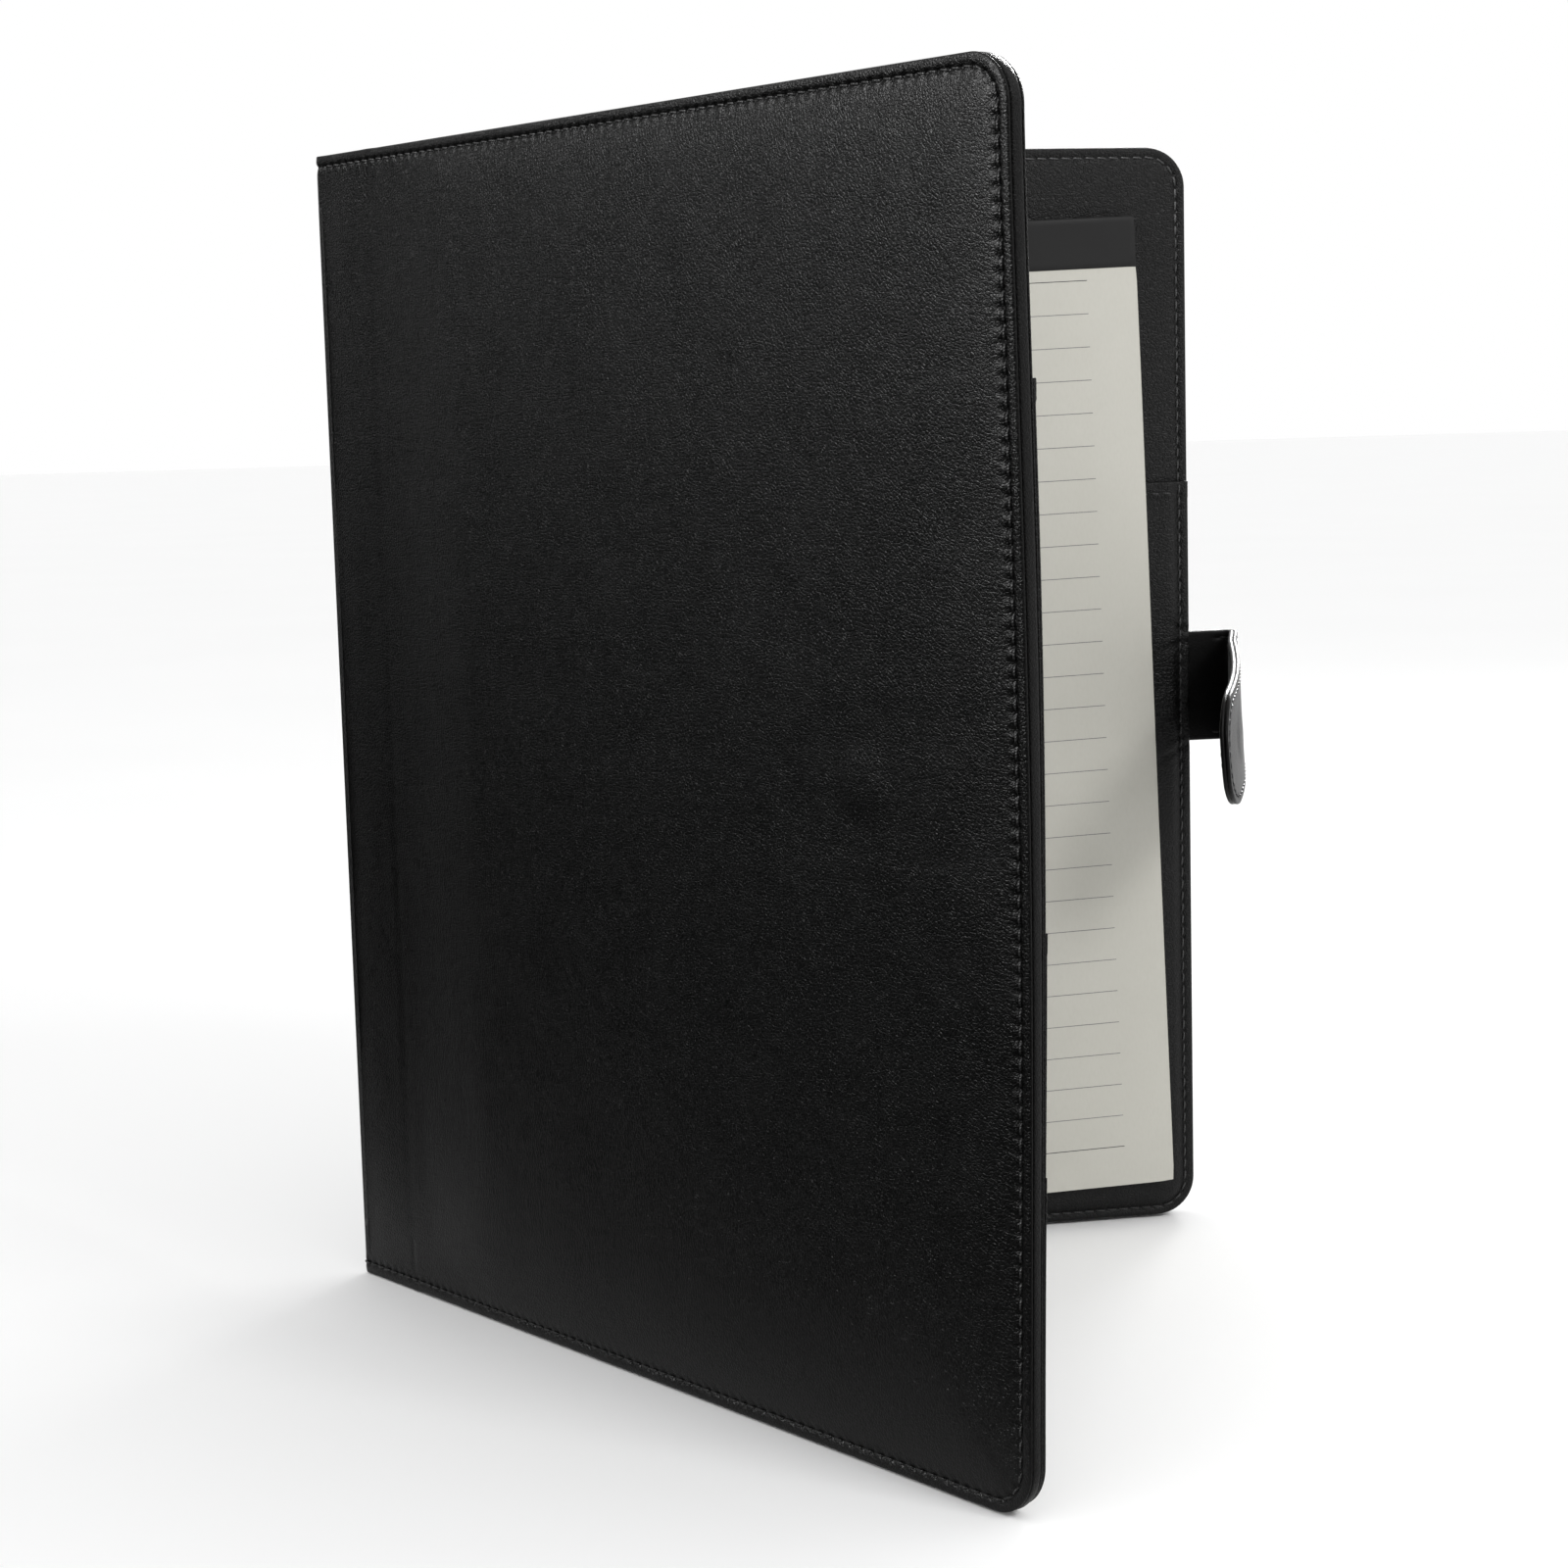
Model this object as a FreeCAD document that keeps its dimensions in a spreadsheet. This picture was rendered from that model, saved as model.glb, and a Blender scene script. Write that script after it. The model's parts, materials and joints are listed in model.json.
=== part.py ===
"""Leather notebook cover (A4 padfolio), as a parametric FreeCAD document.

Frame, in millimetres: +Z up.  The back cover stands in the XZ plane with its fore edge
towards +X, its spine edge towards -X and its inner face towards -Y.  The spine strip and
the front cover stand in one plane that leaves the back cover's spine edge at the opening
angle, towards -Y.  The origin is on the standing surface, below the middle of the back
cover and in the middle of its thickness.

Every panel is drawn in its own hinge frame: x runs from the hinge axis to the far edge,
z runs up, and depth runs from the middle of the outer leather towards the inner side.
"""
import FreeCAD, Part
import math
import os
import Sketcher
from FreeCAD import Placement, Rotation, Vector

DIMENSIONS = [
    ("CoverHeight", 330.0, "bottom edge to top edge"),
    ("CoverWidth", 255.0, "front crease to front fore edge"),
    ("BackWidth", 258.8, "back crease to back fore edge"),
    ("BackCreaseX", 131.3, "back crease, distance from the origin towards the spine"),
    ("SpineWidth", 27.6, "back crease to front crease"),
    ("OpeningAngle", 60.0, "between the two covers, in degrees"),
    ("CornerRadius", 12.0, "fore-edge corners of the covers"),
    ("LeatherThickness", 0.9, "outer leather"),
    ("FoamThickness", 2.0, "padding between outer leather and board"),
    ("BoardThickness", 2.0, "cover boards"),
    ("SpineBoardThickness", 1.5, "board in the spine strip"),
    ("LiningThickness", 0.8, "lining and pocket leather"),
    ("CreaseRadius", 0.8, "rolled leather at each cover crease"),
    ("CreaseGap", 1.2, "crease axis to the leather that turns about it"),
    ("FoamSetback", 5.4, "back crease to foam"),
    ("BoardSetback", 9.8, "back crease to board and turned edge"),
    ("LiningSetback", 11.6, "back crease to lining"),
    ("FrontSetback", 4.0, "front crease to foam and board"),
    ("FrontLiningSetback", 5.0, "front crease to lining"),
    ("PocketSetback", 8.0, "front crease to the pocket panels"),
    ("SpineBoardSetback", 5.6, "back crease to spine board"),
    ("SpineLiningSetback", 7.9, "back crease to spine lining"),
    ("SeamInset", 3.2, "edge to the middle of the seam"),
    ("ThreadWidth", 0.5, "seam thread, across the seam"),
    ("ThreadDepth", 0.4, "seam thread, through the leather"),
    ("GrooveDepth", 0.25, "groove that the seam pulls into the leather"),
    ("SlotTop", 230.0, "top edge of the pad slot panel"),
    ("SlotSetback", 17.0, "back crease to the pad slot panel"),
    ("SlotDepth", 1.4, "room behind the pad slot panel"),
    ("SlotHemWidth", 4.0, "hems that hold the pad slot panel off the lining"),
    ("DocumentPocketTop", 259.6, "top edge of the document pocket"),
    ("MiddlePocketTop", 136.1, "top edge of the middle pocket"),
    ("LowerPocketTop", 80.1, "top edge of the lower pocket"),
    ("PocketHemHeight", 4.5, "folded hem on each pocket's top edge"),
    ("DiscFromEdge", 52.0, "fore edge to the middle of the steel disc"),
    ("DiscDiameter", 18.0, "steel disc under the front cover's foam"),
    ("DiscThickness", 0.8, "steel disc"),
    ("StrapMiddle", 166.1, "middle of the strap above the bottom edge"),
    ("StrapWidth", 32.6, "strap, top edge to bottom edge"),
    ("StrapLeather", 1.0, "one leather of the strap"),
    ("StrapCrease", 1.0, "radius of the rolled leather at the strap's two folds"),
    ("StrapAnchor", 16.0, "length of strap sewn into the back cover"),
    ("BridgeLength", 14.0, "strap, fold at the fore edge to fold at the tab"),
    ("BridgeGap", 1.4, "strap fold to the leather that turns about it"),
    ("BridgeInnerGap", 2.4, "strap fold to the inner leather of the bridge"),
    ("TabAngle", 111.0, "tab turned from the bridge, in degrees"),
    ("TabDroop", 9.5, "tab hanging below level, in degrees"),
    ("TabGap", 4.1, "strap fold to the tab's leather"),
    ("TabLength", 77.0, "strap fold to the tab's end"),
    ("TabLeather", 1.2, "one leather of the tab"),
    ("TabCorner", 15.6, "corner radius of the tab's end"),
    ("MagnetFromFold", 52.0, "strap fold to the middle of the magnet"),
    ("MagnetDiameter", 16.0, "closing magnet"),
    ("MagnetThickness", 1.4, "closing magnet, half in each leather of the tab"),
    ("PadWidth", 210.0, "A4 pad"),
    ("PadLength", 297.0, "A4 pad"),
    ("PadLean", 1.8, "pad turned in its slot, in degrees"),
    ("PadLeft", 89.9, "pad's lower left corner, from the origin towards the spine"),
    ("PadBottom", 6.1, "pad's lower left corner above the bottom edge"),
    ("CardThickness", 0.8, "backing card"),
    ("CardGap", 0.45, "lining to backing card, and slot panel to sheets"),
    ("SheetsThickness", 2.8, "stack of ruled sheets"),
    ("HeaderHeight", 16.3, "binding strip across the top of the pad"),
    ("HeaderThickness", 0.3, "binding strip, in front of the sheets"),
]


class Size:
    """A length that carries both its value and the spreadsheet formula it comes from."""

    def __init__(self, value, formula):
        self.value = value
        self.formula = formula

    def _join(self, other, sign, result):
        other_formula = other.formula if isinstance(other, Size) else str(other)
        return Size(result, f"({self.formula} {sign} {other_formula})")

    def __add__(self, other):
        return self._join(other, "+", self.value + number(other))

    def __sub__(self, other):
        return self._join(other, "-", self.value - number(other))

    def __mul__(self, other):
        return self._join(other, "*", self.value * number(other))

    def __truediv__(self, other):
        return self._join(other, "/", self.value / number(other))

    def __neg__(self):
        return Size(-self.value, f"(-1 * {self.formula})")


def number(length):
    """The plain value of a Size or a number."""
    return length.value if isinstance(length, Size) else length


def bind(item, prop, length):
    """Tie a property to its spreadsheet formula."""
    item.setExpression(prop, length.formula if isinstance(length, Size) else str(length))


doc = FreeCAD.newDocument("NotebookCover")
sheet = doc.addObject("Spreadsheet::Sheet", "Sheet")


class Dimensions:
    """The driving dimensions, one attribute per row of the spreadsheet."""

    def __init__(self):
        for row, (name, value, meaning) in enumerate(DIMENSIONS, start=1):
            sheet.set(f"A{row}", name)
            sheet.set(f"B{row}", str(value))
            sheet.set(f"C{row}", meaning)
            sheet.setAlias(f"B{row}", name)
            setattr(self, name, Size(value, f"Sheet.{name}"))


dim = Dimensions()
doc.recompute()

# Depths of the layers, from the middle of the outer leather towards the inner side.
skin_outer = -dim.LeatherThickness / 2
skin_inner = dim.LeatherThickness / 2
foam_inner = skin_inner + dim.FoamThickness
board_inner = foam_inner + dim.BoardThickness
lining_inner = board_inner + dim.LiningThickness
spine_board_inner = skin_inner + dim.SpineBoardThickness
spine_lining_inner = spine_board_inner + dim.LiningThickness
slot_panel_outer = lining_inner + dim.SlotDepth
slot_panel_inner = slot_panel_outer + dim.LiningThickness
cover_thickness = lining_inner - skin_outer

# The back crease axis stands in the middle of the outer leather.
back_crease_y = cover_thickness / 2 - dim.LeatherThickness / 2
strap_plane_y = back_crease_y - (foam_inner + dim.BoardThickness / 2)


class Frame:
    """A hinge frame: where its axis stands, how it is turned and which way is inward."""

    def __init__(self, x, y, angle, inward):
        self.x, self.y, self.angle, self.inward = x, y, angle, inward

    def place(self, item):
        """Put a body in this frame, tied to the spreadsheet."""
        turn = Rotation(Vector(0, 0, 1), number(self.angle))
        item.Placement = Placement(Vector(number(self.x), number(self.y), 0), turn)
        bind(item, "Placement.Base.x", self.x)
        bind(item, "Placement.Base.y", self.y)

    def along(self, reach):
        """The point at a distance from the axis, as two Sizes."""
        radians = math.radians(number(self.angle))
        degrees = self.angle.formula if isinstance(self.angle, Size) else str(self.angle)
        step_x = number(reach) * math.cos(radians)
        step_y = number(reach) * math.sin(radians)
        x = Size(number(self.x) + step_x, f"{self.x.formula} + {reach.formula} * cos({degrees} * 1deg)")
        y = Size(number(self.y) + step_y, f"{self.y.formula} + {reach.formula} * sin({degrees} * 1deg)")
        return x, y


back = Frame(-dim.BackCreaseX, back_crease_y, 0, inward=-1)
spine = Frame(-dim.BackCreaseX, back_crease_y, -dim.OpeningAngle, inward=1)
front = Frame(*spine.along(dim.SpineWidth), -dim.OpeningAngle, inward=1)
bridge_root_x = dim.BackWidth - dim.BackCreaseX + dim.StrapCrease
bridge = Frame(bridge_root_x, strap_plane_y, 0, inward=-1)
tab = Frame(bridge_root_x + dim.BridgeLength, strap_plane_y, -dim.TabAngle, inward=-1)

sub_parts = []


def new_body(label, frame):
    """A PartDesign body standing in a hinge frame."""
    body = doc.addObject("PartDesign::Body", label)
    body.Label = label
    frame.place(body)
    sub_parts.append(body)
    return body


def origin_plane(body, role):
    return next(f for f in body.Origin.OriginFeatures if f.Role == role)


def upright_sketch(body, name, frame, depth):
    """A sketch parallel to the panel: sketch X is panel x, sketch Y is height."""
    sketch = body.newObject("Sketcher::SketchObject", name)
    sketch.AttachmentSupport = [(origin_plane(body, "XZ_Plane"), "")]
    sketch.MapMode = "FlatFace"
    # The plane's normal is -Y, which is inward where the panel's inner side is at -Y.
    bind(sketch, ".AttachmentOffset.Base.z", depth if frame.inward < 0 else -depth)
    return sketch


def name_and_bind(sketch, constraint, name, length):
    index = sketch.addConstraint(constraint)
    sketch.renameConstraint(index, name)
    bind(sketch, f"Constraints.{name}", length)


def draw_panel(sketch, loop, left, right, bottom, top, corner=None, square_top=False):
    """A closed outline whose right-hand corners may be rounded, or only the lower one.

    left or bottom may be None, which puts that side on the sketch's own axis.
    """
    x0, x1 = number(left or 0), number(right)
    z0, z1 = number(bottom or 0), number(top)
    first = sketch.GeometryCount

    def line(ax, az, bx, bz):
        return sketch.addGeometry(Part.LineSegment(Vector(ax, az, 0), Vector(bx, bz, 0)), False)

    def arc(cx, cz, start):
        circle = Part.Circle(Vector(cx, cz, 0), Vector(0, 0, 1), r)
        return sketch.addGeometry(Part.ArcOfCircle(circle, start, start + math.pi / 2), False)

    r = number(corner) if corner is not None else 0
    r_high = 0 if square_top else r
    arcs = []
    low = line(x0, z0, x1 - r, z0)
    if r:
        arcs.append(arc(x1 - r, z0 + r, -math.pi / 2))
    side = line(x1, z0 + r, x1, z1 - r_high)
    if r_high:
        arcs.append(arc(x1 - r_high, z1 - r_high, 0))
    high = line(x1 - r_high, z1, x0, z1)
    hinge_side = line(x0, z1, x0, z0)
    ring = list(range(first, hinge_side + 1))
    for here, after in zip(ring, ring[1:] + ring[:1]):
        kind = "Tangent" if here in arcs or after in arcs else "Coincident"
        sketch.addConstraint(Sketcher.Constraint(kind, here, 2, after, 1))
    for flat in (low, high):
        sketch.addConstraint(Sketcher.Constraint("Horizontal", flat))
    for upright in (side, hinge_side):
        sketch.addConstraint(Sketcher.Constraint("Vertical", upright))
    if len(arcs) == 2:
        sketch.addConstraint(Sketcher.Constraint("Equal", *arcs))
    if arcs:
        name_and_bind(sketch, Sketcher.Constraint("Radius", arcs[0], r), f"{loop}Corner", corner)
    if left is None:
        sketch.addConstraint(Sketcher.Constraint("PointOnObject", hinge_side, 1, -2))
    else:
        name_and_bind(
            sketch, Sketcher.Constraint("DistanceX", -1, 1, hinge_side, 1, x0), f"{loop}Left", left
        )
    if bottom is None:
        sketch.addConstraint(Sketcher.Constraint("PointOnObject", low, 1, -1))
    else:
        name_and_bind(sketch, Sketcher.Constraint("DistanceY", -1, 1, low, 1, z0), f"{loop}Bottom", bottom)
    name_and_bind(sketch, Sketcher.Constraint("DistanceX", -1, 1, side, 1, x1), f"{loop}Right", right)
    name_and_bind(sketch, Sketcher.Constraint("DistanceY", -1, 1, high, 1, z1), f"{loop}Top", top)


def pad(body, sketch, frame, thickness):
    """Raise the sketch inward by a thickness."""
    feature = body.newObject("PartDesign::Pad", sketch.Name + "Pad")
    feature.Profile = sketch
    feature.Reversed = frame.inward > 0
    bind(feature, "Length", thickness)
    return feature


def cut(body, sketch, frame, depth, inward=False):
    """Cut from the sketch, outward unless inward is asked for, and prove that it cut."""
    doc.recompute()
    before = body.Shape.Volume
    feature = body.newObject("PartDesign::Pocket", sketch.Name + "Cut")
    feature.Profile = sketch
    feature.Reversed = (frame.inward > 0) != inward
    bind(feature, "Length", depth)
    doc.recompute()
    if body.Shape.Volume > before - 0.1:
        raise RuntimeError(f"{feature.Name} cut nothing")
    return feature


def slab(label, frame, depth, thickness, outline):
    """A sub-part that is one flat panel: outline is (left, right, bottom, top, corner)."""
    body = new_body(label, frame)
    sketch = upright_sketch(body, label + "_outline", frame, depth)
    draw_panel(sketch, "panel", *outline)
    pad(body, sketch, frame, thickness)
    return body


def second_slab(body, suffix, frame, depth, thickness, outline):
    """One more thickness of the same piece, such as a turned edge or a folded hem."""
    sketch = upright_sketch(body, f"{body.Label}_{suffix}", frame, depth)
    draw_panel(sketch, suffix, *outline)
    return pad(body, sketch, frame, thickness)


def disc_sketch(body, name, frame, depth, across, height, diameter):
    sketch = upright_sketch(body, name, frame, depth)
    centre = Vector(number(across), number(height), 0)
    circle = sketch.addGeometry(Part.Circle(centre, Vector(0, 0, 1), number(diameter) / 2), False)
    name_and_bind(sketch, Sketcher.Constraint("Diameter", circle, number(diameter)), "Diameter", diameter)
    name_and_bind(
        sketch, Sketcher.Constraint("DistanceX", -1, 1, circle, 3, number(across)), "Across", across
    )
    name_and_bind(
        sketch, Sketcher.Constraint("DistanceY", -1, 1, circle, 3, number(height)), "Height", height
    )
    return sketch


def cut_groove(body, frame, width, left, seam_at_end=True):
    """The shallow groove that the seam pulls along the panel's three outer edges."""
    half = dim.ThreadWidth / 2 + 0.05
    outer, inner = dim.SeamInset - half, dim.SeamInset + half
    right_outer = width - outer if seam_at_end else width
    right_inner = width - inner if seam_at_end else width - left
    sketch = upright_sketch(body, body.Label + "_groove", frame, skin_outer)
    corner = (dim.CornerRadius - outer, dim.CornerRadius - inner) if seam_at_end else (None, None)
    draw_panel(sketch, "outer", None, right_outer, outer, dim.CoverHeight - outer, corner[0])
    draw_panel(sketch, "inner", left, right_inner, inner, dim.CoverHeight - inner, corner[1])
    cut(body, sketch, frame, dim.GrooveDepth, inward=True)


def seam_thread(label, frame, depth, left, width, seam_at_end=True):
    """Thread along the panel's edges, open at the crease where the seam runs on."""
    half = dim.ThreadWidth / 2
    outer, inner = dim.SeamInset - half, dim.SeamInset + half
    right = width - outer if seam_at_end else width
    corner = dim.CornerRadius - outer if seam_at_end else None
    outline = (left, right, outer, dim.CoverHeight - outer, corner)
    body = slab(label, frame, depth, dim.ThreadDepth, outline)
    sketch = upright_sketch(body, label + "_inside", frame, depth + dim.ThreadDepth)
    right = width - inner if seam_at_end else width + dim.ThreadWidth
    corner = dim.CornerRadius - inner if seam_at_end else None
    draw_panel(sketch, "inside", None, right, inner, dim.CoverHeight - inner, corner)
    cut(body, sketch, frame, dim.ThreadDepth)
    return body


def bobbin_thread(label, frame, width, levels):
    """Thread on the inner side, which steps down from panel to panel.

    levels is a list of (depth, left, bottom, top), from the lowest to the highest stretch.
    """
    body = new_body(label, frame)
    half = dim.ThreadWidth / 2
    outer, inner = dim.SeamInset - half, dim.SeamInset + half
    high, corner = dim.CoverHeight - outer, dim.CornerRadius - outer
    for step, (depth, left, bottom, top) in enumerate(levels, start=1):
        name = f"{label}_{step}"
        run = upright_sketch(body, name + "_run", frame, depth)
        draw_panel(run, "run", left, width - outer, outer, high, corner)
        pad(body, run, frame, dim.ThreadDepth)
        level = depth + dim.ThreadDepth
        inside = upright_sketch(body, name + "_inside", frame, level)
        corner_inside = dim.CornerRadius - inner
        draw_panel(inside, "inside", None, width - inner, inner, dim.CoverHeight - inner, corner_inside)
        cut(body, inside, frame, dim.ThreadDepth)
        for end, low, top_end in (("below", None, bottom), ("above", top, dim.CoverHeight)):
            if (end == "below" and bottom is None) or (end == "above" and top is None):
                continue
            rest = upright_sketch(body, f"{name}_{end}", frame, level)
            draw_panel(rest, end, None, width, low, top_end)
            cut(body, rest, frame, dim.ThreadDepth)
    return body


def cover_shell(label, frame, width, skin_start, turn_start):
    """Outer leather: a skin over the whole cover, with its edges turned over the board."""
    thickness = dim.LeatherThickness
    body = slab(
        label, frame, skin_outer, thickness,
        (skin_start, width, None, dim.CoverHeight, dim.CornerRadius),
    )
    second_slab(
        body, "turned", frame, skin_inner, board_inner - skin_inner,
        (turn_start, width, None, dim.CoverHeight, dim.CornerRadius),
    )
    room = upright_sketch(body, label + "_room", frame, board_inner)
    draw_panel(
        room, "room", None, width - thickness, thickness, dim.CoverHeight - thickness,
        dim.CornerRadius - thickness,
    )
    cut(body, room, frame, board_inner - skin_inner)
    cut_groove(body, frame, width, dim.ThreadWidth / 2)
    return body


def inside_shell(left, width, clearance=0.0):
    """The outline that fits within the turned edges."""
    inset = dim.LeatherThickness + clearance
    corner = dim.CornerRadius - inset
    return left, width - inset, inset, dim.CoverHeight - inset, corner


def upright_roll(label, frame, at, radius, bottom, top):
    """Rolled leather standing on a fold's axis."""
    body = new_body(label, frame)
    sketch = body.newObject("Sketcher::SketchObject", label + "_section")
    sketch.AttachmentSupport = [(origin_plane(body, "XY_Plane"), "")]
    sketch.MapMode = "FlatFace"
    bind(sketch, ".AttachmentOffset.Base.z", bottom)
    circle = sketch.addGeometry(
        Part.Circle(Vector(number(at or 0), 0, 0), Vector(0, 0, 1), number(radius)), False
    )
    name_and_bind(sketch, Sketcher.Constraint("Radius", circle, number(radius)), "Radius", radius)
    sketch.addConstraint(Sketcher.Constraint("PointOnObject", circle, 3, -1))
    if at is None:
        sketch.addConstraint(Sketcher.Constraint("PointOnObject", circle, 3, -2))
    else:
        name_and_bind(sketch, Sketcher.Constraint("DistanceX", -1, 1, circle, 3, number(at)), "At", at)
    feature = body.newObject("PartDesign::Pad", label + "_roll")
    feature.Profile = sketch
    bind(feature, "Length", top - bottom)
    return body


strap_bottom = dim.StrapMiddle - dim.StrapWidth / 2
strap_top = dim.StrapMiddle + dim.StrapWidth / 2


def make_back_cover():
    """Back cover: leather shell, foam, board with a notch for the strap, and lining."""
    width = dim.BackWidth
    shell = cover_shell("back_outer_leather", back, width, dim.CreaseRadius, dim.BoardSetback)
    slot = upright_sketch(shell, "strap_slot", back, board_inner)
    draw_panel(slot, "slot", width - dim.StrapAnchor, width + 1, strap_bottom, strap_top)
    cut(shell, slot, back, dim.BoardThickness)
    slab("back_foam", back, skin_inner, dim.FoamThickness, inside_shell(dim.FoamSetback, width))
    board = slab(
        "back_board", back, foam_inner, dim.BoardThickness, inside_shell(dim.BoardSetback, width)
    )
    notch = upright_sketch(board, "strap_notch", back, board_inner)
    draw_panel(notch, "notch", width - dim.StrapAnchor, width + 1, strap_bottom, strap_top)
    cut(board, notch, back, dim.BoardThickness)
    slab(
        "strap_anchor", back, foam_inner, dim.BoardThickness,
        (width - dim.StrapAnchor, width, strap_bottom, strap_top, None),
    )
    slab(
        "back_lining", back, board_inner, dim.LiningThickness,
        (dim.LiningSetback, width, None, dim.CoverHeight, dim.CornerRadius),
    )
    upright_roll(
        "back_crease_leather", back, None, dim.CreaseRadius,
        dim.CreaseRadius, dim.CoverHeight - dim.CreaseRadius,
    )
    seam_thread("back_seam_thread", back, skin_outer - 0.15, dim.CreaseRadius, width)


def make_pad_slot():
    """Panel on the back cover's lining, held off it by hems, which takes the pad's card."""
    width = dim.BackWidth
    low = dim.LiningThickness
    slab(
        "pad_slot_panel", back, slot_panel_outer, dim.LiningThickness,
        (dim.SlotSetback, width - 0.3, low, dim.SlotTop, dim.CornerRadius, True),
    )
    hems = {
        "slot_hem_left": (dim.SlotSetback, dim.SlotSetback + dim.SlotHemWidth, low, dim.SlotTop),
        "slot_hem_bottom": (
            dim.SlotSetback + dim.SlotHemWidth, width - dim.CornerRadius, low, low + dim.SlotHemWidth,
        ),
        "slot_hem_right": (width - dim.SlotHemWidth, width - 0.3, dim.CornerRadius + low, dim.SlotTop),
    }
    for label, outline in hems.items():
        slab(label, back, lining_inner, dim.SlotDepth, outline + (None,))
    bobbin_thread("back_bobbin_thread", back, width, [
        (slot_panel_inner, dim.SlotSetback, None, dim.SlotTop),
        (lining_inner, dim.LiningSetback, dim.SlotTop, None),
    ])


def make_spine():
    """Spine strip between the two creases: leather, board and lining."""
    width = dim.SpineWidth
    skin = slab(
        "spine_outer_leather", spine, skin_outer, dim.LeatherThickness,
        (dim.CreaseGap, width - dim.CreaseRadius, None, dim.CoverHeight, None),
    )
    cut_groove(skin, spine, width, dim.ThreadWidth / 2, seam_at_end=False)
    inset = dim.LeatherThickness
    slab(
        "spine_board", spine, skin_inner, dim.SpineBoardThickness,
        (dim.SpineBoardSetback, width - dim.FrontSetback, inset, dim.CoverHeight - inset, None),
    )
    slab(
        "spine_lining", spine, spine_board_inner, dim.LiningThickness,
        (dim.SpineLiningSetback, width - dim.FrontSetback, inset, dim.CoverHeight - inset, None),
    )
    upright_roll(
        "front_crease_leather", spine, width, dim.CreaseRadius,
        dim.CreaseRadius, dim.CoverHeight - dim.CreaseRadius,
    )
    seam_thread(
        "spine_seam_thread", spine, skin_outer - 0.15, dim.CreaseGap, width - dim.CreaseRadius,
        seam_at_end=False,
    )


def make_front_cover():
    """Front cover: leather shell, foam over a steel disc, board, lining and pockets."""
    width = dim.CoverWidth
    cover_shell("front_outer_leather", front, width, dim.CreaseGap, dim.FrontSetback)
    foam = slab(
        "front_foam", front, skin_inner, dim.FoamThickness, inside_shell(dim.FrontSetback, width)
    )
    across = width - dim.DiscFromEdge
    seat = disc_sketch(
        foam, "disc_seat", front, foam_inner, across, dim.StrapMiddle, dim.DiscDiameter + 0.4
    )
    cut(foam, seat, front, dim.DiscThickness)
    disc = new_body("closure_steel_disc", front)
    outline = disc_sketch(
        disc, "disc_outline", front, foam_inner - dim.DiscThickness, across, dim.StrapMiddle,
        dim.DiscDiameter,
    )
    pad(disc, outline, front, dim.DiscThickness)
    slab("front_board", front, foam_inner, dim.BoardThickness, inside_shell(dim.FrontSetback, width))
    slab(
        "front_lining", front, board_inner, dim.LiningThickness,
        (dim.FrontLiningSetback, width, None, dim.CoverHeight, dim.CornerRadius),
    )
    seam_thread("front_seam_thread", front, skin_outer - 0.15, dim.CreaseGap, width)


def make_front_pockets():
    """Three full-width pockets, one on the next, each with a folded hem on its top edge."""
    low = dim.LiningThickness
    depth = lining_inner
    pockets = [
        ("document_pocket", dim.DocumentPocketTop),
        ("middle_pocket", dim.MiddlePocketTop),
        ("lower_pocket", dim.LowerPocketTop),
    ]
    stretches = []
    for label, top in pockets:
        panel = slab(
            label, front, depth, dim.LiningThickness,
            (dim.PocketSetback, dim.CoverWidth, low, top, dim.CornerRadius, True),
        )
        depth = depth + dim.LiningThickness
        hem_bottom = top - dim.PocketHemHeight
        hem = (dim.PocketSetback, dim.CoverWidth, hem_bottom, top)
        second_slab(panel, "hem", front, depth, dim.LiningThickness, hem)
        stretches = [(depth, hem_bottom), (depth + dim.LiningThickness, top)] + stretches
    # Each stretch of the inner thread starts where the one nearer the reader ends.
    stretches.append((lining_inner, None))
    starts = [None] + [top for _, top in stretches]
    bobbin_thread("front_bobbin_thread", front, dim.CoverWidth, [
        (level, dim.PocketSetback, start, top) for start, (level, top) in zip(starts, stretches)
    ])


def make_strap_bridge():
    """Strap from the back cover's fore edge to the fold where the tab turns."""
    length = dim.BridgeLength
    upright_roll("strap_root_fold", bridge, None, dim.StrapCrease, strap_bottom, strap_top)
    upright_roll("strap_tab_fold", bridge, length, dim.StrapCrease, strap_bottom, strap_top)
    layers = {
        "strap_outer_leather": (-dim.StrapLeather, dim.BridgeGap, length - dim.StrapCrease),
        "strap_inner_leather": (dim.StrapLeather * 0, dim.BridgeGap, length - dim.BridgeInnerGap),
    }
    for label, (depth, left, right) in layers.items():
        slab(label, bridge, depth, dim.StrapLeather, (left, right, strap_bottom, strap_top, None))


def droop(body):
    """Hang a tab piece below level, about the middle of the fold."""
    middle = Vector(0, 0, dim.StrapMiddle.value)
    upright = Placement(body.Placement.Base, body.Placement.Rotation)
    tip_down = Placement(Vector(0, 0, 0), Rotation(Vector(0, 1, 0), dim.TabDroop.value), middle)
    placed = upright.multiply(tip_down)
    for axis in "xyz":
        body.setExpression(f"Placement.Base.{axis}", None)
    body.Placement = placed


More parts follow.
